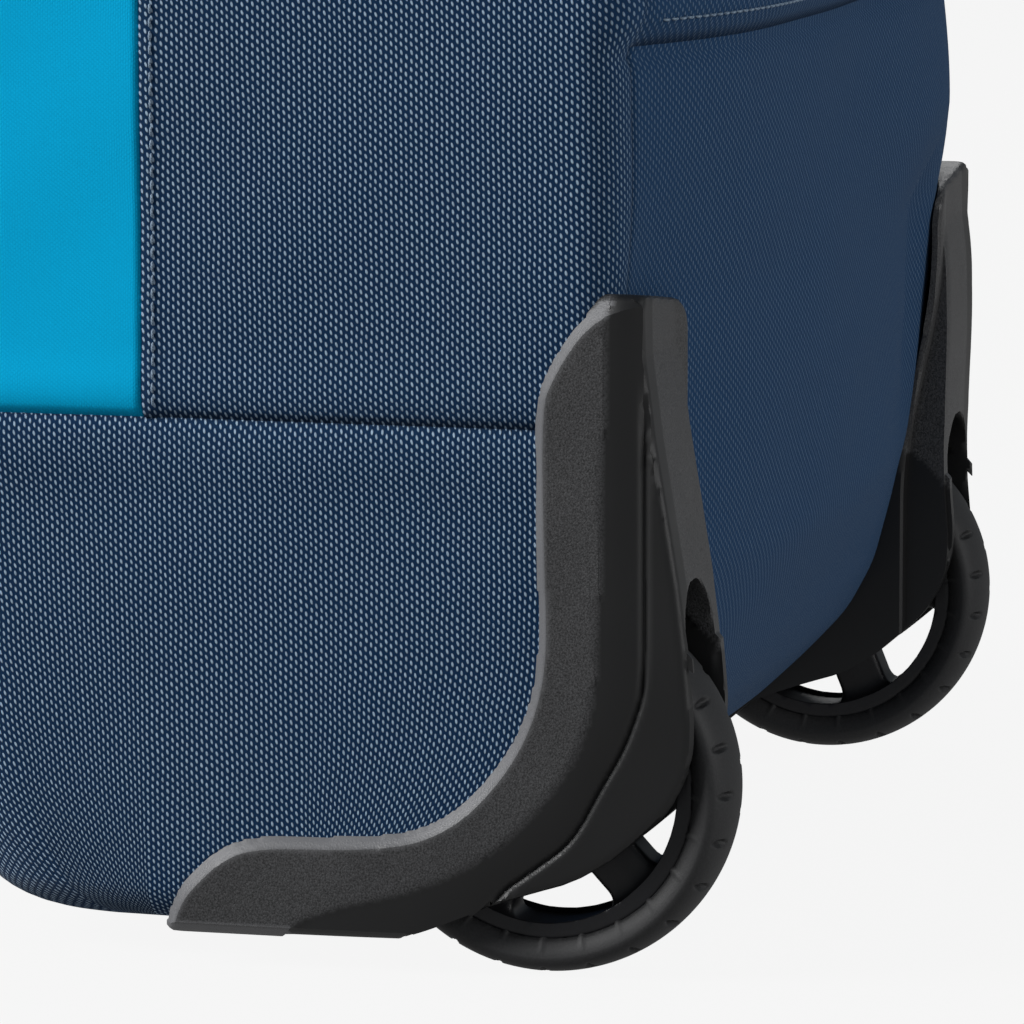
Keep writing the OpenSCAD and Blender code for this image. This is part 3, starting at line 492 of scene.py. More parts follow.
# The bottom of the boot closes under the board
boot_cap = new_piece("base_boot_underside", skin[0], [tuple(range(skin.shape[1] - 1, -1, -1))], navy)
for piece, node in ((navy_sides, "outer_shell"), (blue_front, "front_panel"),
                    (back_wall, "back_panel"), (boot, "base_boot"), (boot_cap, "base_boot")):
    thicken(piece, fabric_t)
    if piece is not blue_front:
        cut_away(piece, wheel_wells)
    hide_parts(node)
    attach(piece, "bag")
for cutter in wheel_wells:
    bpy.data.objects.remove(cutter)

# ---------------------------------------------------------------- wheel housings
# Injection-moulded black polypropylene guards: a flat grained flange screwed to the side,
# and a smooth pod round the wheel that wraps onto the back. Each is one moulding.


def grained(name, colour, roughness, grain_mm, depth, fleck, spec=0.5):
    """Moulded plastic with a spark-eroded grain: fine random pits that break up the light."""
    mat, tree, shader = principled(name, colour, roughness)
    coord = add_node(tree, "ShaderNodeTexCoord")
    pits = add_node(tree, "ShaderNodeTexNoise", _0=coord.outputs["Object"],
                    Scale=1 / (grain_mm * MM), Detail=3.0)
    wide = add_node(tree, "ShaderNodeTexNoise", _0=coord.outputs["Object"], Scale=28.0, Detail=4.0)
    shade = add_node(tree, "ShaderNodeMapRange", _0=pits.outputs[0], _1=0.3, _2=0.7,
                     _3=1 - fleck, _4=1 + fleck)
    drift = add_node(tree, "ShaderNodeMapRange", _0=wide.outputs[0], _1=0.3, _2=0.7, _3=0.92, _4=1.08)
    both = add_node(tree, "ShaderNodeMath", {"operation": "MULTIPLY"},
                    _0=shade.outputs[0], _1=drift.outputs[0])
    tint = add_node(tree, "ShaderNodeMix", {"data_type": "RGBA", "blend_type": "MULTIPLY"}, _0=1.0,
                    _6=linear_colour(colour), _7=both.outputs[0])
    tree.links.new(tint.outputs[2], shader.inputs["Base Color"])
    relief = add_node(tree, "ShaderNodeBump", Distance=depth * MM, Strength=1.0, Height=pits.outputs[0])
    tree.links.new(relief.outputs[0], shader.inputs["Normal"])
    rough = add_node(tree, "ShaderNodeMapRange", _0=wide.outputs[0], _1=0.3, _2=0.7,
                     _3=roughness - 0.04, _4=roughness + 0.06)
    tree.links.new(rough.outputs[0], shader.inputs["Roughness"])
    shader.inputs["Specular IOR Level"].default_value = spec
    return mat


# Grained face: dark grey, flecked and dull
housing_grain = grained("polypropylene_moulded_grained", "#333334", 0.45, 0.45, 0.13, 0.8, 0.5)
# Behind the parting line the pod, and the inside of the wheel well, are painted deeper black as shade, and
# their grain relief is weakened
tree, shader = housing_grain.node_tree, housing_grain.node_tree.nodes["Principled BSDF"]
pod_well_shade = add_node(tree, "ShaderNodeAttribute", {"attribute_name": "pod_well_shade"})
grain_tint = shader.inputs["Base Color"].links[0].from_socket
pod_shade_tint = add_node(tree, "ShaderNodeMix", {"data_type": "RGBA"}, _0=pod_well_shade.outputs["Fac"],
                    _6=grain_tint, _7=linear_colour("#0b0b0c"))
# The bevel is painted paler than the face as a highlight
bevel_highlight = add_node(tree, "ShaderNodeAttribute", {"attribute_name": "bevel_highlight"})
bevel_highlight_tint = add_node(tree, "ShaderNodeMix", {"data_type": "RGBA"}, _0=bevel_highlight.outputs["Fac"],
                     _6=pod_shade_tint.outputs[2], _7=linear_colour("#626264"))
tree.links.new(bevel_highlight_tint.outputs[2], shader.inputs["Base Color"])
grain_relief = shader.inputs["Normal"].links[0].from_node
less = add_node(tree, "ShaderNodeMapRange", _0=pod_well_shade.outputs["Fac"], _3=1.0, _4=0.15)
tree.links.new(less.outputs[0], grain_relief.inputs["Strength"])


def skin_of(field, low, high, step):
    """Quads on the zero surface of a signed field (below zero is solid), with its edges kept."""
    low = np.asarray(low, float)
    count = np.ceil((np.asarray(high) - low) / step).astype(int) + 1
    grid = np.stack(np.meshgrid(*[low[i] + step * np.arange(count[i]) for i in range(3)], indexing="ij"), -1)
    value = field(grid.reshape(-1, 3)).reshape(count)
    spots, slopes, cells, quads = [], [], [], []
    for a in range(3):
        lo, hi = [slice(None)] * 3, [slice(None)] * 3
        lo[a], hi[a] = slice(0, -1), slice(1, None)
        at = np.argwhere((value[tuple(lo)] < 0) != (value[tuple(hi)] < 0))
        b, c = (a + 1) % 3, (a + 2) % 3
        at = at[(at[:, b] > 0) & (at[:, c] > 0)]
        p0 = low + step * at
        p1 = p0.copy()
        p1[:, a] += step
        v0 = value[tuple(at.T)]
        up = v0 < 0
        for _ in range(6):
            mid = (p0 + p1) / 2
            inside = (field(mid) < 0) == up
            p0, p1 = np.where(inside[:, None], mid, p0), np.where(inside[:, None], p1, mid)
        spot = (p0 + p1) / 2
        h = 0.02
        slope = np.stack([field(spot + h * e) - field(spot - h * e) for e in np.eye(3)], 1)
        slope /= np.linalg.norm(slope, axis=1, keepdims=True) + 1e-12
        around = []
        for db, dc in ((-1, -1), (0, -1), (0, 0), (-1, 0)):
            cell = at.copy()
            cell[:, b] += db
            cell[:, c] += dc
            around.append(np.ravel_multi_index(cell.T, count))
        around = np.array(around)
        quads.append(np.where(up, around, around[::-1]).T)
        for row in around:
            spots.append(spot)
            slopes.append(slope)
            cells.append(row)
    spots, slopes = np.vstack(spots), np.vstack(slopes)
    cells, quads = np.concatenate(cells), np.vstack(quads)
    used, index = np.unique(cells, return_inverse=True)
    n = len(used)
    hits = np.bincount(index, minlength=n)
    mass = np.stack([np.bincount(index, spots[:, k], n) for k in range(3)], 1) / hits[:, None]
    lean = np.einsum("ij,ij->i", slopes, spots - mass[index])
    ata = np.zeros((n, 3, 3))
    atb = np.zeros((n, 3))
    for i in range(3):
        atb[:, i] = np.bincount(index, slopes[:, i] * lean, n)
        for j in range(3):
            ata[:, i, j] = np.bincount(index, slopes[:, i] * slopes[:, j], n)
    ata += 0.02 * np.eye(3)
    shift = np.linalg.solve(ata, atb[..., None])[..., 0]
    shift = np.clip(shift, -step * 0.9, step * 0.9)
    return mass + shift, np.searchsorted(used, quads)


def smax(a, b, k=1.2):
    """Larger of two fields, with the edge between them rounded."""
    h = np.maximum(k - np.abs(a - b), 0)
    return np.maximum(a, b) + h * h / (4 * k)


def outline_field(points, low, high, step=0.5):
    """Signed distance to a closed outline, tabulated; below zero is inside."""
    pts = np.asarray(points, float)
    nu, nv = int((high[0] - low[0]) / step) + 1, int((high[1] - low[1]) / step) + 1
    u, v = np.meshgrid(low[0] + step * np.arange(nu), low[1] + step * np.arange(nv), indexing="ij")
    best, inside = np.full(u.shape, 1e9), np.zeros(u.shape, bool)
    for p, q in zip(pts, np.roll(pts, -1, 0)):
        d = q - p
        t = np.clip(((u - p[0]) * d[0] + (v - p[1]) * d[1]) / max(d @ d, 1e-9), 0, 1)
        best = np.minimum(best, (u - p[0] - t * d[0]) ** 2 + (v - p[1] - t * d[1]) ** 2)
        crosses = (p[1] > v) != (q[1] > v)
        inside ^= crosses & (u < p[0] + (v - p[1]) * d[0] / (d[1] if abs(d[1]) > 1e-12 else 1e-12))
    table = np.where(inside, -1, 1) * np.sqrt(best)

    def read(y, z):
        fu = np.clip((y - low[0]) / step, 0, nu - 1.001)
        fv = np.clip((z - low[1]) / step, 0, nv - 1.001)
        iu, iv = fu.astype(int), fv.astype(int)
        ru, rv = fu - iu, fv - iv
        return ((table[iu, iv] * (1 - ru) + table[iu + 1, iv] * ru) * (1 - rv)
                + (table[iu, iv + 1] * (1 - ru) + table[iu + 1, iv + 1] * ru) * rv)
    return read


def rounded_line(points, passes=2):
    """Cuts the corners of an open line so that it runs as a curve."""
    pts = np.asarray(points, float)
    for _ in range(passes):
        a, b = pts[:-1], pts[1:]
        cut = np.stack([a * 0.75 + b * 0.25, a * 0.25 + b * 0.75], 1).reshape(-1, 2)
        pts = np.vstack([pts[:1], cut, pts[-1:]])
    return pts


# Outlines of the guard in millimetres back from and above the axle: the edge on the fabric, the
# edge of the pod at the back and below, the parting line and the groove between flange and pod
fabric_edge = rounded_line([
    (26.5, 119.8), (25, 119.8), (17.7, 118), (11.3, 113.3), (6.8, 106.2), (3.7, 99.1), (2.3, 94.4),
    (1.8, 82.7), (2.3, 56.9), (3, 38.1), (1.8, 26.2), (-1.8, 15.4), (-7.8, 5.7), (-15.8, -3),
    (-23.6, -7.7), (-30.9, -10), (-43.1, -11.3), (-55.4, -11.6), (-62.8, -12), (-70.2, -13.3),
    (-76.4, -16.8), (-81.4, -21.4), (-85.1, -25.6), (-87.1, -29.4), (-88.9, -34.3), (-87.7, -35.9),
    (-85.2, -36.3)]) + [-2.4, -1.0]
fabric_edge[:, 0] += ramp(fabric_edge[:, 1], 96, 116) * 2.0
pod_low_edge = rounded_line([
    (-87.6, -37.3), (-60, -37.2), (-34, -36.2), (-26.6, -33.9), (-16.8, -29.8), (-5.4, -25.4), (12.9, -19.7),
    (29.6, -5.3), (33.1, 0.1), (35.9, 5.7), (37.8, 11.8), (38.4, 18.4), (38, 24), (37, 35.1),
    (35.8, 47.8), (33.4, 66), (32, 77.3), (29.6, 93.6), (27.2, 104.6), (26.5, 119.8)])
parting = rounded_line([
    (22, 140), (19.8, 112), (19.4, 94.8), (18.8, 71.4), (18.3, 50.3), (17.2, 24.4), (13.6, 12.4), (7.6, 2.6),
    (-2, -8.5), (-11.7, -15.9), (-19, -20.1), (-31.2, -24.8), (-44.7, -27.9), (-60, -34),
    (-64, -50)]) + [-2.2, -0.8]
groove = rounded_line([
    (27.2, 140), (27.5, 94.3), (27.6, 47.4), (27.6, 26.4), (25.2, 18.5), (22, 10.4), (17.2, 2.3),
    (10.2, -11), (2.1, -17.3), (-8.7, -25.1), (-20, -40), (-30, -50)]) + [-1.6, 0]
guard_low_z, guard_top_z, far_back = -37.3, 118.8, 120
table_low, table_high = (-100, -50), (60, 135)
past_back = [(far_back, -50), (far_back, 140)]
whole_outline = outline_field(np.vstack([fabric_edge, pod_low_edge[1:-1]]), table_low, table_high)
behind_parting = outline_field(np.vstack([parting, past_back]), table_low, table_high)
behind_groove = outline_field(np.vstack([groove, past_back]), table_low, table_high)
guard_side = outline_field(np.vstack([fabric_edge, [(far_back, guard_low_z), (far_back, guard_top_z)]]),
                           table_low, table_high)
guard_face, guard_back_x, well_gap_r, wheel_gap_x = 20.0, -23.0, 48.0, 14.0
well_wall_r, well_wall_in, well_wall_out, well_low_z = 50.0, -17.3, 15.4, -36.0
slot_round_z, bevel, flange_y = 36.0, 2.8, 25.6


def fabric_back(x, z):
    """How far back the fabric's back face stands, from the axle."""
    tuck, shift, swell = section(z + axle[2])
    flat_x = half_w - back_round
    reach_x = np.clip(np.abs(x + axle[0]) / flat_x, 0, 1)
    flat = y_back - axle[1] + shift + swell * (1 - reach_x ** swell_power(z + axle[2]))
    corner = np.clip(x + axle[0] - flat_x, 0, back_round)
    return flat - (back_round - np.sqrt(back_round ** 2 - corner ** 2))


def housing_field(p):
    """The right guard: a plate on the side, a wrap onto the back, and the wheel's well let in."""
    x, y, z = p.T
    radius = np.hypot(y, z)
    edge = whole_outline(y, z)
    past_line, past_groove = -behind_parting(y, z), -behind_groove(y, z)
    run = np.clip(past_line / np.maximum(past_line - past_groove, 1e-3), 0, 1)
    face = guard_face - np.where(past_line > 0, 0.35 + 2.3 * run ** 1.7, 0)
    face -= np.clip(past_groove, 0, 20) * 0.11
    face -= 0.9 * np.exp(-(past_groove / 0.9) ** 2) * ramp(z, 100, 88)
    in_from_edge = -guard_side(y, z)
    outer = np.maximum(x - face, (x - face + bevel - in_from_edge) * 0.7071)
    plate = np.maximum(np.maximum(outer, edge), side_x - x)
    y_bag = fabric_back(x, z)
    pod_limit = np.interp(z, [-36, 18, 35, 50, 66, 84, 104, 130],
                          [37.4, 37.2, 35.8, 34.0, 31.4, 28.4, 25.8, 25.2])
    flange_limit = np.maximum(flange_y, y_bag + 1.0)
    near_limit = np.maximum(pod_limit, np.where(x > 8, flange_y, flange_limit))
    y_limit = np.where(x > -19.0, near_limit, flange_limit)
    top = guard_top_z - 0.13 * np.clip(18 - x, 0, 41)
    end = smax(z - top, guard_back_x - x, 8.0)
    around = np.where((y > 12) & (z > 20), end, np.maximum(edge, guard_back_x - x))
    wrap = smax(smax(outer, y - y_limit, 2.2), around, 1.6)
    wrap = smax(wrap, y_bag - 1.0 - y, 0.1)
    wrap = np.maximum(wrap, np.maximum(-20.5 - y, guard_low_z - z))
    inside_bag = y - y_bag
    shell = np.maximum(np.maximum(radius - well_wall_r, well_gap_r - radius),
                       np.maximum(well_wall_in - x, x - well_wall_out))
    inner_disc = np.maximum(np.maximum(well_wall_in - x, x + wheel_gap_x), radius - well_wall_r)
    well = np.maximum(np.minimum(shell, inner_disc), np.minimum(inside_bag, edge))
    well = np.maximum(well, well_low_z - z)
    body = np.minimum(np.minimum(plate, wrap), well)
    between_walls = np.abs(x) - wheel_gap_x
    arch = np.where(z > slot_round_z, np.hypot(x, z - slot_round_z) - wheel_gap_x, between_walls)
    opening = np.maximum(arch, 5.0 - y)
    room = np.minimum(np.maximum(between_walls, radius - well_gap_r), opening)
    return smax(body, -room, 0.8)


guard_points, guard_quads = skin_of(housing_field, (-26, -92, -38.2), (22, 42, 122), 1.0)
for side, name in ((-1, "wheel_housing_left"), (1, "wheel_housing_right")):
    placed = (guard_points + axle) * [side, 1, 1]
    placed[:, 1] += lean_back(placed[:, 0], placed[:, 2])
    quads = guard_quads if side > 0 else guard_quads[:, ::-1]
    guard = new_piece(name + "_moulding", placed, quads, housing_grain, sharp=32)
    x, y, z = guard_points.T
    past = -behind_parting(y, z)
    on_pod = ramp(past, -0.4, 0.4) * (x > 8)
    in_well = (np.hypot(y, z) < well_gap_r + 0.4) & (x < wheel_gap_x + 0.6)
    on_bevel = ramp(-guard_side(y, z), bevel + 0.3, bevel - 0.3) * (x > guard_face - 3.5) * (past < 0)
    # Painted shade on the pod and inside the well: a deeper black
    mark(guard, "pod_well_shade", np.maximum(on_pod, in_well))
    # Painted highlight on the bevel: a paler grey
    mark(guard, "bevel_highlight", on_bevel)
    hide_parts(name, "housing_screws")
    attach(guard, "bag")

# ---------------------------------------------------------------- wheels
# A solid thermoplastic rubber tyre with short sipes on its shoulders, pressed on a moulded
# five-spoke rim. Each rim turns on two ball bearings on a steel axle.
# The tyre looks dull and charcoal black, and the rim smoother with a faint gloss
tyre_rubber = grained("thermoplastic_rubber_moulded", "#232324", 0.62, 0.5, 0.05, 0.25, 0.4)
rim_plastic = grained("polypropylene_moulded_rim", "#17171a", 0.45, 0.8, 0.03, 0.15, 0.4)
tyre_w, rim_seat_r, crown_h, sipe_pitch, sipe_deep = 25.0, 36.0, 4.0, 11.6, 1.7
# A sipe's place across the tyre, and half its length and width
sipe_mid_x, sipe_half_l, sipe_half_w = 8.1, 3.3, 1.1
turns, ribs = 720, 40
rim_half_w, rim_lip_r, hub_r, hub_half_w = 9.7, 31.9, 14.5, 11.0
spoke_half_w, spoke_half_t, bearing_r, hub_bore_r = 6.5, 6.0, 11.0, 9.0


def tyre_mesh():
    """Tyre section turned round the axle, with lens-shaped sipes pressed into both shoulders."""
    a = np.radians(np.linspace(-90, 90, ribs - 3))
    tread_x = tyre_w / 2 * np.sin(a)
    tread_r = rim_seat_r + crown_h + (wheel_r - rim_seat_r - crown_h) * np.cos(a) ** 0.8
    bead = np.array([[-9.5, rim_seat_r], [-10.8, rim_seat_r + 0.8]])
    prof = np.vstack([bead, np.c_[tread_x, tread_r], bead[::-1] * [-1, 1]])
    angle = np.radians(np.arange(turns) * 360 / turns)
    r = np.repeat(prof[:, 1][None], turns, 0)
    x = np.repeat(prof[:, 0][None], turns, 0)
    count = round(2 * math.pi * wheel_r / sipe_pitch)
    sipe_no = angle[:, None] / (2 * math.pi) * count
    for way, stagger in ((-1, 0), (1, 0.5)):
        along = ((sipe_no + stagger) % 1 - 0.5) * sipe_pitch
        across_v = (way * x - sipe_mid_x) / sipe_half_l
        lens = 1 - (along / sipe_half_w) ** 2 - across_v ** 2
        dent = sipe_deep * np.clip(lens * 1.4, 0, 1) * (x * way > 3)
        r = r - dent * 0.8
        x = x - way * dent * 0.5
    ring = np.stack([x, r * np.cos(angle)[:, None], r * np.sin(angle)[:, None]], -1)
    m = len(prof)
    faces = []
    for i in range(turns):
        here, there = i * m, (i + 1) % turns * m
        faces += [(here + j, here + (j + 1) % m, there + (j + 1) % m, there + j) for j in range(m)]
    return ring.reshape(-1, 3), faces


def smin(a, b, k):
    """Smaller of two fields, with the corner between them filled."""
    return -smax(-a, -b, k)


def rim_field(p, start):
    """A rim: ring, five ribbed spokes from a start angle, and a hub with its bearing seats."""
    x, y, z = p.T
    radius = np.hypot(y, z)
    lip = rim_lip_r + 1.5 * np.clip((rim_half_w - np.abs(x)) / 1.5, 0, 1)
    ring = smax(smax(radius - rim_seat_r, lip - radius, 0.5), np.abs(x) - rim_half_w, 0.8)
    hub = smax(radius - hub_r, np.abs(x) - hub_half_w, 1.0)
    spokes = np.full(len(p), 1e3)
    for k in range(5):
        a = math.radians(start + 72 * k)
        along, off = y * math.cos(a) + z * math.sin(a), -y * math.sin(a) + z * math.cos(a)
        arm = smax(np.abs(off) - spoke_half_w, np.abs(x) - spoke_half_t + np.abs(off) * 0.08, 2.0)
        arm = smax(arm, np.maximum(10 - along, along - 34.5))
        spokes = np.minimum(spokes, arm)
    body = smin(smin(ring, spokes, 5.0), hub, 4.0)
    body = np.maximum(body, radius - rim_seat_r)
    seat = np.maximum(radius - bearing_r, 4.0 - np.abs(x))
    return smax(body, -np.minimum(seat, radius - hub_bore_r), 0.5)


tyre_points, tyre_faces = tyre_mesh()
for side, name, start in ((-1, "left", -68), (1, "right", -47)):
    tyre = new_piece("tyre_" + name + "_sipes", (tyre_points + axle) * [side, 1, 1],
                     tyre_faces if side > 0 else [f[::-1] for f in tyre_faces], tyre_rubber, sharp=50)
    points, quads = skin_of(lambda p: rim_field(p, start), (-12, -37, -37), (12, 37, 37), 0.8)
    rim = new_piece("rim_" + name + "_spokes", (points + axle) * [side, 1, 1],
                    quads if side > 0 else quads[:, ::-1], rim_plastic, sharp=35)
    for piece, node, slot_name in ((tyre, "tyre_", "tyre"), (rim, "rim_", "rim_plastic")):
        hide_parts(node + name)
        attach(piece, "wheel_" + name)

# ---------------------------------------------------------------- seams
# Lock-stitched seams in heavy polyester thread, three millimetres a stitch, in grey-blue. Each
# stitch dips into the cloth at both ends.


def patterned(name, roughness, low_tone, high_tone, depth, kind, settings=None, **inputs):
    """A material whose pattern runs between two tones and stands out by a depth in millimetres."""
    mat, tree, shader = principled(name, high_tone, roughness)
    coord = add_node(tree, "ShaderNodeTexCoord")
    pattern = add_node(tree, kind, settings, _0=coord.outputs["Object"], **inputs).outputs["Fac"]
    tint = add_node(tree, "ShaderNodeMix", {"data_type": "RGBA"}, _0=pattern,
                    _6=linear_colour(low_tone), _7=linear_colour(high_tone))
    tree.links.new(tint.outputs[2], shader.inputs["Base Color"])
    if depth:
        relief = add_node(tree, "ShaderNodeBump", Distance=depth * MM, Strength=1.0, Height=pattern)
        tree.links.new(relief.outputs[0], shader.inputs["Normal"])
    return mat


# Two twisted plies: slanting light and dark bands along each stitch
thread = patterned("polyester_thread_twisted", 0.7, "#52677d", "#8496a8", 0, "ShaderNodeTexWave",
                   {"bands_direction": "DIAGONAL"}, Scale=900.0, Distortion=1.0)
stitch_pitch, stitch_len, thread_r = 3.2, 2.5, 0.34


def along_line(line, pitch):
    """Points, directions and normals at even steps along a line with normals."""
    pts, nrm = line
    run = np.r_[0, np.cumsum(np.linalg.norm(np.diff(pts, axis=0), axis=1))]
    s = np.arange(pitch / 2, run[-1], pitch)

    def read(values, where):
        return np.stack([np.interp(where, run, values[:, k]) for k in range(3)], 1)

    go = read(pts, np.minimum(s + 0.5, run[-1])) - read(pts, np.maximum(s - 0.5, 0))
    go /= np.linalg.norm(go, axis=1, keepdims=True)
    face = read(nrm, s)
    face -= go * (face * go).sum(1, keepdims=True)
    return read(pts, s), go, face / np.linalg.norm(face, axis=1, keepdims=True)


def stitches(name, lines):
    """Rows of separate stitches, each a short rounded length of thread sunk at both ends."""
    verts, faces = [], []
    ends = np.array([-0.5, -0.34, 0, 0.34, 0.5]) * stitch_len
    fat = np.array([0.35, 0.9, 1, 0.9, 0.35]) * thread_r
    dip = np.array([-0.28, 0.05, 0.2, 0.05, -0.28])
    ring = np.radians(np.arange(0, 360, 60))
    sleeve = grid_faces(len(ends), len(ring), closed=True)
    for line in lines:
        for p, go, face in zip(*along_line(line, stitch_pitch)):
            side = np.cross(go, face)
            first = len(verts)
            for e, f, d in zip(ends, fat, dip):
                for t in ring:
                    verts.append(p + go * e + face * (d + f * math.cos(t)) + side * f * math.sin(t))
            faces += [tuple(first + j for j in quad) for quad in sleeve]
            faces.append(tuple(first + j for j in range(len(ring) - 1, -1, -1)))
            faces.append(tuple(len(verts) - len(ring) + j for j in range(len(ring))))
    made = new_piece(name, verts, faces, thread)
    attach(made, "bag")


# Two rows up the laps of the navy over the blue, and one across the back above the fold
cols = skin.shape[1]
lap_col, stitch_up = c_front + 1, 0.15
seam_lines = []
span = slice(r_boot + 1, len(z_rows) - 1)
for c in (lap_col, cols - lap_col):
    seam_lines.append((skin[span, c] + normal[span, c] * (lap[c] + stitch_up), normal[span, c]))
r, span = r_fold + 2, slice(c_corner + 2, cols - c_corner - 2)
seam_lines.append((skin[r, span] + normal[r, span] * stitch_up, normal[r, span]))
stitches("seam_stitches", seam_lines)

# ---------------------------------------------------------------- handle deck and lid
# The back of the top is a fixed deck of foam under navy nylon that holds the handle cup. The lid
# is a padded nylon panel over foam, lined with pale foil film, sewn to the deck along its back.


def lay_cloth(obj, u_way, v_way):
    """Lays the weave over a piece: u and v are weighted sums of x, y and z, in millimetres."""
    layer = obj.data.uv_layers.new(name="cloth")
    for loop in obj.data.loops:
        p = obj.data.vertices[loop.vertex_index].co / MM
        layer.data[loop.index].uv = (p.dot(Vector(u_way)), p.dot(Vector(v_way)))


lid_low, lid_high = box_mm("lid_cover")
bezel_low, bezel_high = box_mm("handle_bezel")
top_points = skin[-1]
deck_cols = np.flatnonzero(top_points[:, 1] > hinge_y)
deck_line = top_points[deck_cols]
deck_out = np.c_[normal[-1, deck_cols, :2], 0 * deck_cols]
deck_z = lid_top - 0.9
# Height and how far the deck's wall has drawn in, up to its rounded top edge
deck_steps = [(zip_z, 0), (398, -0.4), (405, -0.6), (412, -0.5), (419, 0), (424, 0.6), (427.5, 1.8),
              (deck_z, 4.6)]
deck_grid = np.stack([deck_line * [1, 1, 0] + [0, 0, z] - deck_out * drawn for z, drawn in deck_steps])
deck_rows, wide = len(deck_steps), len(deck_cols)
front_y = hinge_y + 0.2
verts = list(deck_grid.reshape(-1, 3))
faces = grid_faces(deck_rows, wide)
last = (deck_rows - 1) * wide
# The cup's flange covers the hole's edge
hole_low, hole_high = bezel_low + 2.7, bezel_high - 2.7
hole = [(hole_low[0], hole_low[1]), (hole_high[0], hole_low[1]), (hole_high[0], hole_high[1]),
        (hole_low[0], hole_high[1])]
rim = deck_grid[-1]
front_rim = [(x, front_y, deck_z) for x in np.linspace(rim[-1][0], rim[0][0], 30)[1:-1]]
front_ids = list(range(len(verts), len(verts) + len(front_rim)))
verts += [np.array(p) for p in front_rim]
hole_ids = list(range(len(verts), len(verts) + 4))
verts += [np.array([x, y, deck_z]) for x, y in hole]
loop_ids = list(range(last, last + wide)) + front_ids
flat = [Vector((float(verts[i][0]), float(verts[i][1]), 0)) for i in loop_ids]
inner = [Vector((float(verts[i][0]), float(verts[i][1]), 0)) for i in reversed(hole_ids)]
all_ids = loop_ids + list(reversed(hole_ids))
for tri in tessellate_polygon([flat, inner]):
    faces.append(tuple(all_ids[i] for i in tri))
wall_low = list(range(len(verts), len(verts) + len(front_ids) + 2))
wall_top = [last + wide - 1] + front_ids + [last]
verts += [np.array([verts[i][0], front_y, zip_z]) for i in wall_top]
faces += [(wall_top[k], wall_low[k], wall_low[k + 1], wall_top[k + 1]) for k in range(len(wall_top) - 1)]
deck = new_piece("handle_deck", verts, faces, navy, sharp=60)
lay_cloth(deck, (1, 0, 0), (0, 0.999, 1))
# The deck is marked for the same even tone of painted shade
mark(deck, "unlit_weave", np.full(len(deck.data.vertices), unlit_back_share))
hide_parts("outer_shell")
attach(deck, "bag")

# The lid's outline, just below the zip: the bag's ring in front of the hinge, closed by a straight edge
back_points = 58
right_half = half_plan(zip_z - 1)
right_half = right_half[right_half[:, 1] < lid_high[1]]
front_ring = np.vstack([right_half[::-1], right_half[1:] * [-1, 1]])
back_edge = np.c_[np.linspace(front_ring[-1, 0], front_ring[0, 0], back_points + 2)[1:-1],
                  np.full(back_points, lid_high[1])]
lid_ring = np.vstack([front_ring, back_edge])[::-1]
middle = np.array([0, (lid_low[1] + lid_high[1]) / 2])


def ring_grid(ring, steps):
    """Rings of points: each step is a height and how far the ring has drawn in, in millimetres."""
    rows = []
    half_size = np.array([half_w, (lid_high[1] - lid_low[1]) / 2])
    for z, inset in steps:
        rows.append(np.c_[middle + (ring - middle) * (1 - inset / half_size), np.full(len(ring), z)])
    return np.stack(rows)


def cup_faces(rows, cols):
    """Faces of a cup of rings, with its last ring filled in."""
    return grid_faces(rows, cols, closed=True) + [tuple(range((rows - 1) * cols, rows * cols))]


cover_steps = [(393.2, 3.0), (394.4, 0.7), (398, 0.0), (406, -0.6), (414, -0.5), (419, 0.4), (423, 2.6),
               (425.6, 5.6), (427, 9.5), (427.8, 14), (428.4, 22), (429, 32), (429.4, 44), (429.6, 58),
               (429.7, 72)]
cover = ring_grid(lid_ring, cover_steps)
rows_n, ring_n = cover.shape[:2]
swell_here = np.sin(cover[..., 0] / 41) * np.sin(cover[..., 1] / 23 + 0.6)
cover[..., 2] += 0.5 * swell_here * (np.arange(rows_n) > 6)[:, None]
faces = [f[::-1] for f in cup_faces(rows_n, ring_n)] + [tuple(range(ring_n))]
lid = new_piece("lid_padded_cover", cover.reshape(-1, 3), faces, navy)
lay_cloth(lid, (1, 0.35, 0), (0, 1, 1))
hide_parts("lid_cover", "lid_foam")
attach(lid, "lid")

piping = ring_grid(lid_ring, [(421.5, 0)])[0]
piping_n = np.c_[piping[:, :2] - middle, np.zeros(len(piping))]
piping_n[:, :2] /= np.linalg.norm(piping_n[:, :2], axis=1, keepdims=True)


def tube_along(name, pts, radius, material, sides=8):
    """A round cord along a closed loop of points."""
    n = len(pts)
    go = np.roll(pts, -1, 0) - np.roll(pts, 1, 0)
    go /= np.linalg.norm(go, axis=1, keepdims=True)
    up = np.tile([0.0, 0.0, 1.0], (n, 1))
    flat_side = np.cross(go, up)
    flat_side /= np.linalg.norm(flat_side, axis=1, keepdims=True) + 1e-9
    up = np.cross(flat_side, go)
    t = np.radians(np.arange(sides) * 360 / sides)
    ring = pts[:, None] + radius * (np.cos(t)[None, :, None] * flat_side[:, None]
                                    + np.sin(t)[None, :, None] * up[:, None])
    faces = []
    for i in range(n):
        j = (i + 1) % n
        for k in range(sides):
            m = (k + 1) % sides
            faces.append((i * sides + k, i * sides + m, j * sides + m, j * sides + k))
    return new_piece(name, ring.reshape(-1, 3), faces, material)


edge_cord = tube_along("lid_piping", piping + piping_n * 0.4, 1.7, blue)
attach(edge_cord, "lid")

# ---------------------------------------------------------------- lining
# Pale grey foil-faced film, heat-welded, loose enough to pucker. It lines the tub and the lid
# and turns over the top of the foam.

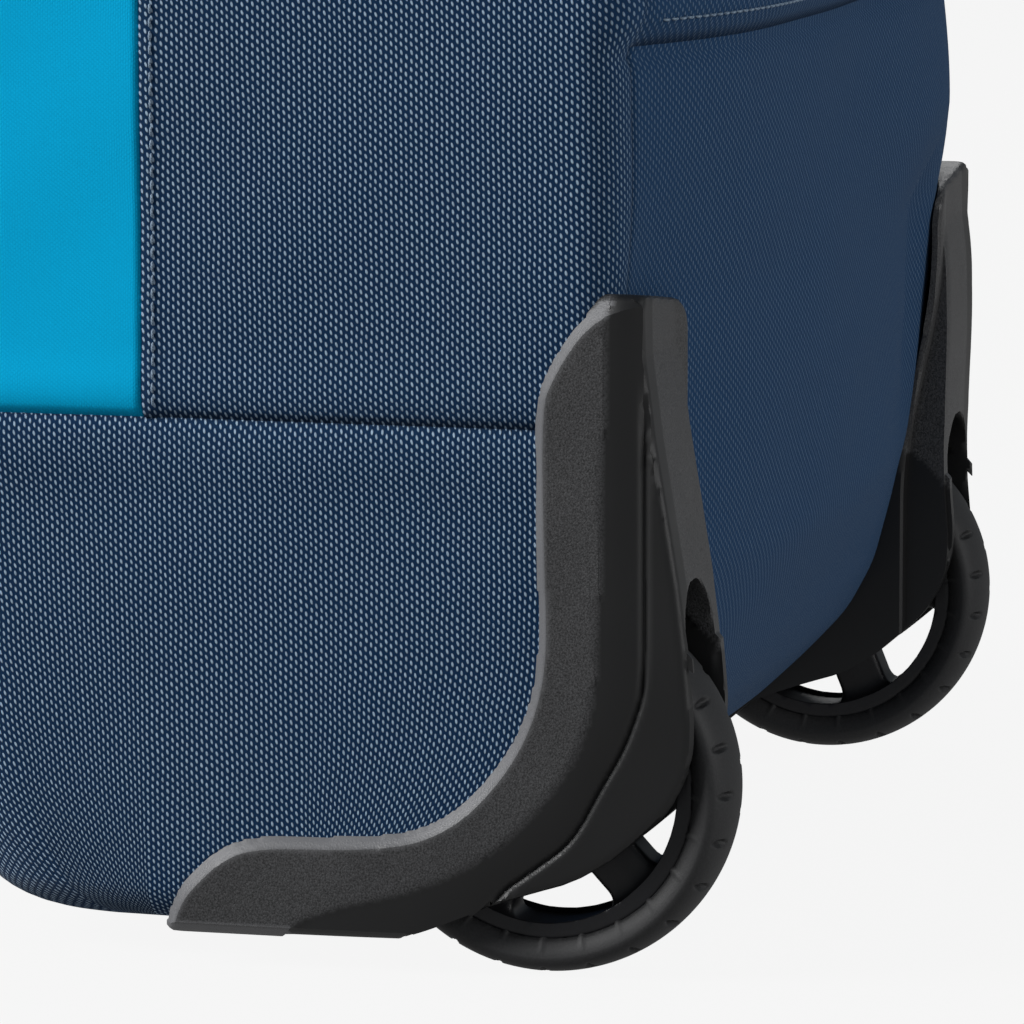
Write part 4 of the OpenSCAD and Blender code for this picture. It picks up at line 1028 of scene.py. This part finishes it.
# Pale and slightly glossy, with soft puckers a few centimetres across
film = patterned("polyethylene_vinyl_film_welded", 0.32, "#b7bec4", "#d6dadd", 0.9, "ShaderNodeTexNoise",
                 Scale=55.0, Detail=5.0)
turn_over = [(391.9, 1.8), (392.0, 6.0), (391.6, 9.6), (388, 11.0)]
wall = [(z, 11.2) for z in np.linspace(380, 40, 30)]
tub = ring_grid(lid_ring, turn_over + wall + [(32, 12.5), (27.5, 17), (26, 24), (25.9, 50), (25.9, 70)])
row_no = np.arange(tub.shape[0])[:, None]
on_wall = (row_no > len(turn_over)) & (row_no < len(turn_over) + len(wall) - 1)
pucker = 0.8 * np.sin(tub[..., 2] / 19 + tub[..., 0] / 27) * np.sin(tub[..., 0] / 15 + tub[..., 1] / 12)
to_middle = np.dstack([np.sign(middle[0] - tub[..., 0]) * 0.5, np.sign(middle[1] - tub[..., 1]), 0 * pucker])
tub += to_middle * (pucker * on_wall)[..., None]
# The back of the floor steps in over the wheels
tub[..., 1] = np.where(tub[..., 1] > 20, tub[..., 1] - 14 * ramp(tub[..., 2], 60, 20), tub[..., 1])
tub_piece = new_piece("tub_lining", tub.reshape(-1, 3), cup_faces(*tub.shape[:2]), film)
lid_film = ring_grid(lid_ring, [(393.0, 2.4), (392.9, 6), (392.6, 9), (392.5, 14), (392.6, 30),
                                (392.7, 50), (392.7, 72)])
lid_film_piece = new_piece("lid_lining", lid_film.reshape(-1, 3), cup_faces(*lid_film.shape[:2]), film)
for piece, node, body in ((tub_piece, "liner_tub", "bag"), (lid_film_piece, "lid_liner", "lid")):
    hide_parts(node)
    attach(piece, body)

# ---------------------------------------------------------------- zips
# Number eight coil zips: woven polyester tape sewn on along both edges, with moulded teeth
# that lock at the parting line, and cast zinc sliders with plain tabs.

# The tape looks black with fine level ribs, and the teeth a little glossier
zip_tape = patterned("polyester_zip_tape_woven", 0.8, "#101317", "#262b31", 0.2, "ShaderNodeTexWave",
                     {"bands_direction": "Z"}, Scale=420.0)
teeth_plastic = grained("acetal_moulded_teeth", "#1d1f22", 0.35, 0.6, 0.01, 0.1, 0.5)


def flat_band(name, path, z0, z1, thick, material):
    """A strip that stands on edge along a path, with rounded edges."""
    go = np.gradient(path, axis=0)
    go /= np.linalg.norm(go, axis=1, keepdims=True)
    out = np.c_[go[:, 1], -go[:, 0]]
    prof = [(0, z0), (thick * 0.7, z0), (thick, z0 + 0.4), (thick, z1 - 0.4), (thick * 0.7, z1), (0, z1)]
    grid = np.stack([np.c_[path + out * t, np.full(len(path), z)] for t, z in prof], 1)
    n, m = grid.shape[:2]
    faces = grid_faces(n, m, closed=True) + [tuple(range(m))[::-1], tuple(range((n - 1) * m, n * m))]
    return new_piece(name, grid.reshape(-1, 3), faces, material, sharp=50)


tooth_pitch = 2.0
# Height above the tape's edge, half width and half depth of a tooth's stem and head
tooth_steps = ((0, 0.62, 0.55), (1.3, 0.55, 0.75), (1.9, 0.75, 0.75), (2.15, 0.5, 0.5))


def tooth_row(name, path, z, up, out_from):
    """Separate teeth along a path: a stem on the tape and a wider head at the parting line."""
    pts = np.c_[path, np.full(len(path), z)]
    dirs = np.gradient(pts, axis=0)
    dirs /= np.linalg.norm(dirs, axis=1, keepdims=True)
    nrm = np.c_[dirs[:, 1], -dirs[:, 0], 0 * dirs[:, 0]]
    tooth = cup_faces(len(tooth_steps), 4)
    verts, faces = [], []
    for p, go, face in zip(*along_line((pts, nrm), tooth_pitch)):
        first = len(verts)
        for height, wide, deep in tooth_steps:
            for a, b in ((-1, -1), (1, -1), (1, 1), (-1, 1)):
                verts.append(p + go * a * wide + face * (out_from + deep * b) + np.array([0, 0, up * height]))
        faces += [tuple(first + j for j in f)[::1 if up > 0 else -1] for f in tooth]
    return new_piece(name, verts, faces, teeth_plastic, sharp=30)


tape_high = box_mm("lid_zip_tape_lower")[1]
zip_ring = front_ring[::-1]
zip_path = zip_ring[zip_ring[:, 1] < tape_high[1] + 0.3]
for which, body, z0, z1, tooth_z, up in (("lower", "bag", 382.0, 391.6, 389.8, 1),
                                         ("upper", "lid", 392.8, 402.4, 394.6, -1)):
    tape = flat_band(f"lid_tape_{which}", zip_path, z0, z1, 1.0, zip_tape)
    teeth = tooth_row(f"lid_teeth_{which}", zip_path, tooth_z, up, out_from=1.3)
    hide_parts(f"lid_zip_tape_{which}")
    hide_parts(f"lid_zip_teeth_{which}")
    for piece, kind in ((tape, "zip_tape"), (teeth, "zip_teeth")):
        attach(piece, body)

# ---------------------------------------------------------------- front pocket
# A bellows pocket of blue nylon on the front, padded, with piped edges and a zip across its top.
# Its walls are sewn to the front all round.
pocket_low, pocket_high = box_mm("front_pocket")
pocket_mid_z = (pocket_low[2] + pocket_high[2]) / 2
pocket_half = (pocket_high - pocket_low) / 2
# Depth of each ring of the pocket and how far it has drawn in
pocket_steps = [(pocket_high[1] + 0.2, 0.0), (-90, 0.0), (-97, -0.4), (-102, 0.3), (-105.4, 2.2),
                (-107.2, 5), (-107.8, 9), (-108.3, 16), (-108.5, 30), (-108.6, 48), (-108.6, 70)]
round_way = np.radians(np.arange(0, 360, 2.0))
go_x, go_z = np.cos(round_way), np.sin(round_way)
pocket_rings = []
for y, inset in pocket_steps:
    half_x, half_z = pocket_half[0] - inset, pocket_half[2] - inset
    squareness = 9.0 if inset < 12 else 6.0
    out = (np.abs(go_x / half_x) ** squareness + np.abs(go_z / half_z) ** squareness) ** (-1 / squareness)
    x, z = out * go_x, out * go_z + pocket_mid_z
    puff = 0.7 * np.sin(x / 33) * np.sin(z / 29) * (inset > 8)
    pocket_rings.append(np.c_[x, np.full(len(x), y) + puff, z])
ring_n = len(round_way)
faces = cup_faces(len(pocket_steps), ring_n) + [tuple(range(ring_n))[::-1]]
pocket = new_piece("front_pocket_padded", np.vstack(pocket_rings), faces, blue)
lay_cloth(pocket, (1, 0.3, 0), (0, 1, 1))
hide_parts("front_pocket")
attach(pocket, "bag")
pocket_cord = tube_along("pocket_piping", pocket_rings[4] + [0, -0.3, 0], 1.3, navy)
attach(pocket_cord, "bag")
pt_low, pt_high = box_mm("pocket_zip_tape")
tape_n = 80
tape_x = np.linspace(pt_low[0] + 2, pt_high[0] - 2, tape_n)
tape_mid = (pt_low[2] + pt_high[2]) / 2
for side, name in ((-1, "low"), (1, "high")):
    teeth = tooth_row(f"pocket_teeth_{name}", np.c_[tape_x, np.full(tape_n, pt_low[1])],
                      tape_mid + side * 2.15, -side, out_from=0.5)
    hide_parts("pocket_zip_teeth")
    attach(teeth, "bag")
pocket_tape = flat_band("pocket_tape", np.c_[tape_x, np.full(tape_n, pt_low[1] + 0.8)],
                        pt_low[2], pt_high[2], 0.8, zip_tape)
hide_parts("pocket_zip_tape")
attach(pocket_tape, "bag")

# ---------------------------------------------------------------- side straps
# Carry handles of polypropylene webbing, bar-tacked at both ends, with a padded nylon wrap that
# closes round the middle.

# The webbing looks black with close cross ribs that catch a little light
webbing = patterned("polypropylene_webbing_woven", 0.7, "#0f1215", "#2c3238", 0.3, "ShaderNodeTexWave",
                    {"bands_direction": "Y"}, Scale=330.0, Distortion=0.6)
strap_low, strap_high = box_mm("side_strap_right")
wrap_low, wrap_high = box_mm("strap_wrap_right")
strap_t = 2.4
strap_mid = (strap_low + strap_high) / 2
strap_half = (strap_high - strap_low) / 2
bow = strap_high[0] - strap_low[0] - strap_t
end_flat, half_z, pad_half = 14, strap_half[2], (wrap_high[1] - wrap_low[1]) / 2
strap_rows, pad_rows = 81, 41


def stands_off(y):
    """How far the webbing bows out from the wall, at a distance from its middle."""
    return bow * (0.5 + 0.5 * np.cos(np.pi * np.clip(np.abs(y) / (strap_half[1] - end_flat), 0, 1)))


def sleeve(name, grid, side, material, sharp=None):
    """A piece from closed sections along a strap, capped at both ends, on either side of the bag."""
    rows, cols = grid.shape[:2]
    faces = [(i * cols + j, (i + 1) * cols + j, (i + 1) * cols + (j + 1) % cols, i * cols + (j + 1) % cols)
             for i in range(rows - 1) for j in range(cols)]
    faces += [tuple(range(cols)), tuple(range((rows - 1) * cols, rows * cols))[::-1]]
    return new_piece(name, grid.reshape(-1, 3) * [side, 1, 1],
                     faces if side > 0 else [f[::-1] for f in faces], material, sharp)


for side, name in ((-1, "left"), (1, "right")):
    y = np.linspace(-strap_half[1], strap_half[1], strap_rows)
    x_in = half_w + 0.3 + stands_off(y)
    prof = [(0, -half_z + 0.8), (0.6, -half_z), (strap_t - 0.6, -half_z), (strap_t, -half_z + 0.8),
            (strap_t, half_z - 0.8), (strap_t - 0.6, half_z), (0.6, half_z), (0, half_z - 0.8)]
    grid = np.stack([np.c_[x_in + t, strap_mid[1] + y, np.full(strap_rows, strap_mid[2] + w)]
                     for t, w in prof], 1)
    strap = sleeve(f"side_webbing_{name}", grid, side, webbing, sharp=50)
    y = np.linspace(-pad_half, pad_half, pad_rows)
    t = np.radians(np.arange(0, 360, 15))
    plump = np.clip((pad_half - np.abs(y)) / 5, 0, 1) ** 0.5
    half_t = 1.3 + 3.1 * plump
    wide_z = 13.4 + 2.9 * plump
    cx = half_w + 1.5 + stands_off(y)
    grid = np.stack([np.c_[cx + half_t * np.sign(np.cos(a)) * abs(np.cos(a)) ** 0.7, strap_mid[1] + y,
                           strap_mid[2] + wide_z * np.sign(np.sin(a)) * abs(np.sin(a)) ** 0.6] for a in t], 1)
    pad = sleeve(f"strap_pad_{name}", grid, side, navy)
    lay_cloth(pad, (0, 1, 0), (1, 0, 1))
    for piece, node, kind in ((strap, "side_strap_", "webbing"), (pad, "strap_wrap_", "navy_fabric")):
        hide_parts(node + name)
        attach(piece, "bag")

# ---------------------------------------------------------------- frame, handle and fittings
# Anodised aluminium tubes telescope behind the back board; moulded nylon grip, cup and blocks;
# steel screws, axles and bearings; rubber feet. These keep their plain turned and moulded shapes.


def brushed(name, colour, roughness, scale, metallic=1.0):
    """Metal with fine drawn lines along its length that stretch the highlights."""
    mat, tree, shader = principled(name, colour, roughness)
    shader.inputs["Metallic"].default_value = metallic
    coord = add_node(tree, "ShaderNodeTexCoord")
    drawn = add_node(tree, "ShaderNodeMapping", _0=coord.outputs["Object"])
    drawn.inputs["Scale"].default_value = scale
    lines = add_node(tree, "ShaderNodeTexNoise", _0=drawn.outputs[0], Scale=1.0, Detail=3.0)
    rough = add_node(tree, "ShaderNodeMapRange", _0=lines.outputs[0], _1=0.3, _2=0.7,
                     _3=roughness - 0.06, _4=roughness + 0.1)
    tree.links.new(rough.outputs[0], shader.inputs["Roughness"])
    relief = add_node(tree, "ShaderNodeBump", Distance=0.02 * MM, Strength=1.0, Height=lines.outputs[0])
    tree.links.new(relief.outputs[0], shader.inputs["Normal"])
    return mat


# Metals: satin pale tubes, brighter turned steel, dark cast sliders. Plastics and foams: dull, with
# a fine grain or cell pattern.
anodised = brushed("aluminium_anodised_drawn", "#b9bdc1", 0.32, (2500, 2500, 30))
zinc_steel = brushed("steel_zinc_plated_turned", "#a9adb2", 0.3, (900, 900, 900))
zinc_cast = brushed("zinc_die_cast_blackened", "#3a3c40", 0.38, (700, 700, 700), 0.9)
nylon_black = grained("nylon_moulded_black", "#202124", 0.62, 0.8, 0.06, 0.2, 0.2)
board_sheet = grained("polypropylene_board_extruded", "#3b3d40", 0.5, 1.5, 0.05, 0.15, 0.4)
foam_pe = grained("polyethylene_foam_closed_cell", "#d9dcdd", 0.85, 1.2, 0.25, 0.12, 0.2)
foot_rubber = grained("rubber_moulded_feet", "#1e1e1f", 0.7, 0.9, 0.06, 0.2, 0.3)
finishes = {
    anodised: "outer_tubes middle_tubes inner_tubes",
    zinc_steel: "axle_left axle_right bearings_left bearings_right bearing_spacer_left bearing_spacer_right "
                "latch_pin_left latch_pin_right push_rods foot_screws",
    zinc_cast: "lid_slider_left lid_slider_right lid_pull_left lid_pull_right pocket_slider pocket_pull",
    nylon_black: "handle_bezel grip_body grip_cap release_button release_yoke tube_feet tube_collars "
                 "latch_plugs",
    board_sheet: "base_board back_board",
    foam_pe: "foam_floor foam_front foam_back foam_sides",
    foot_rubber: "front_feet"}
for material, nodes in finishes.items():
    for node in nodes.split():
        obj = bpy.data.objects[node]
        obj.data.materials.clear()
        obj.data.materials.append(material)
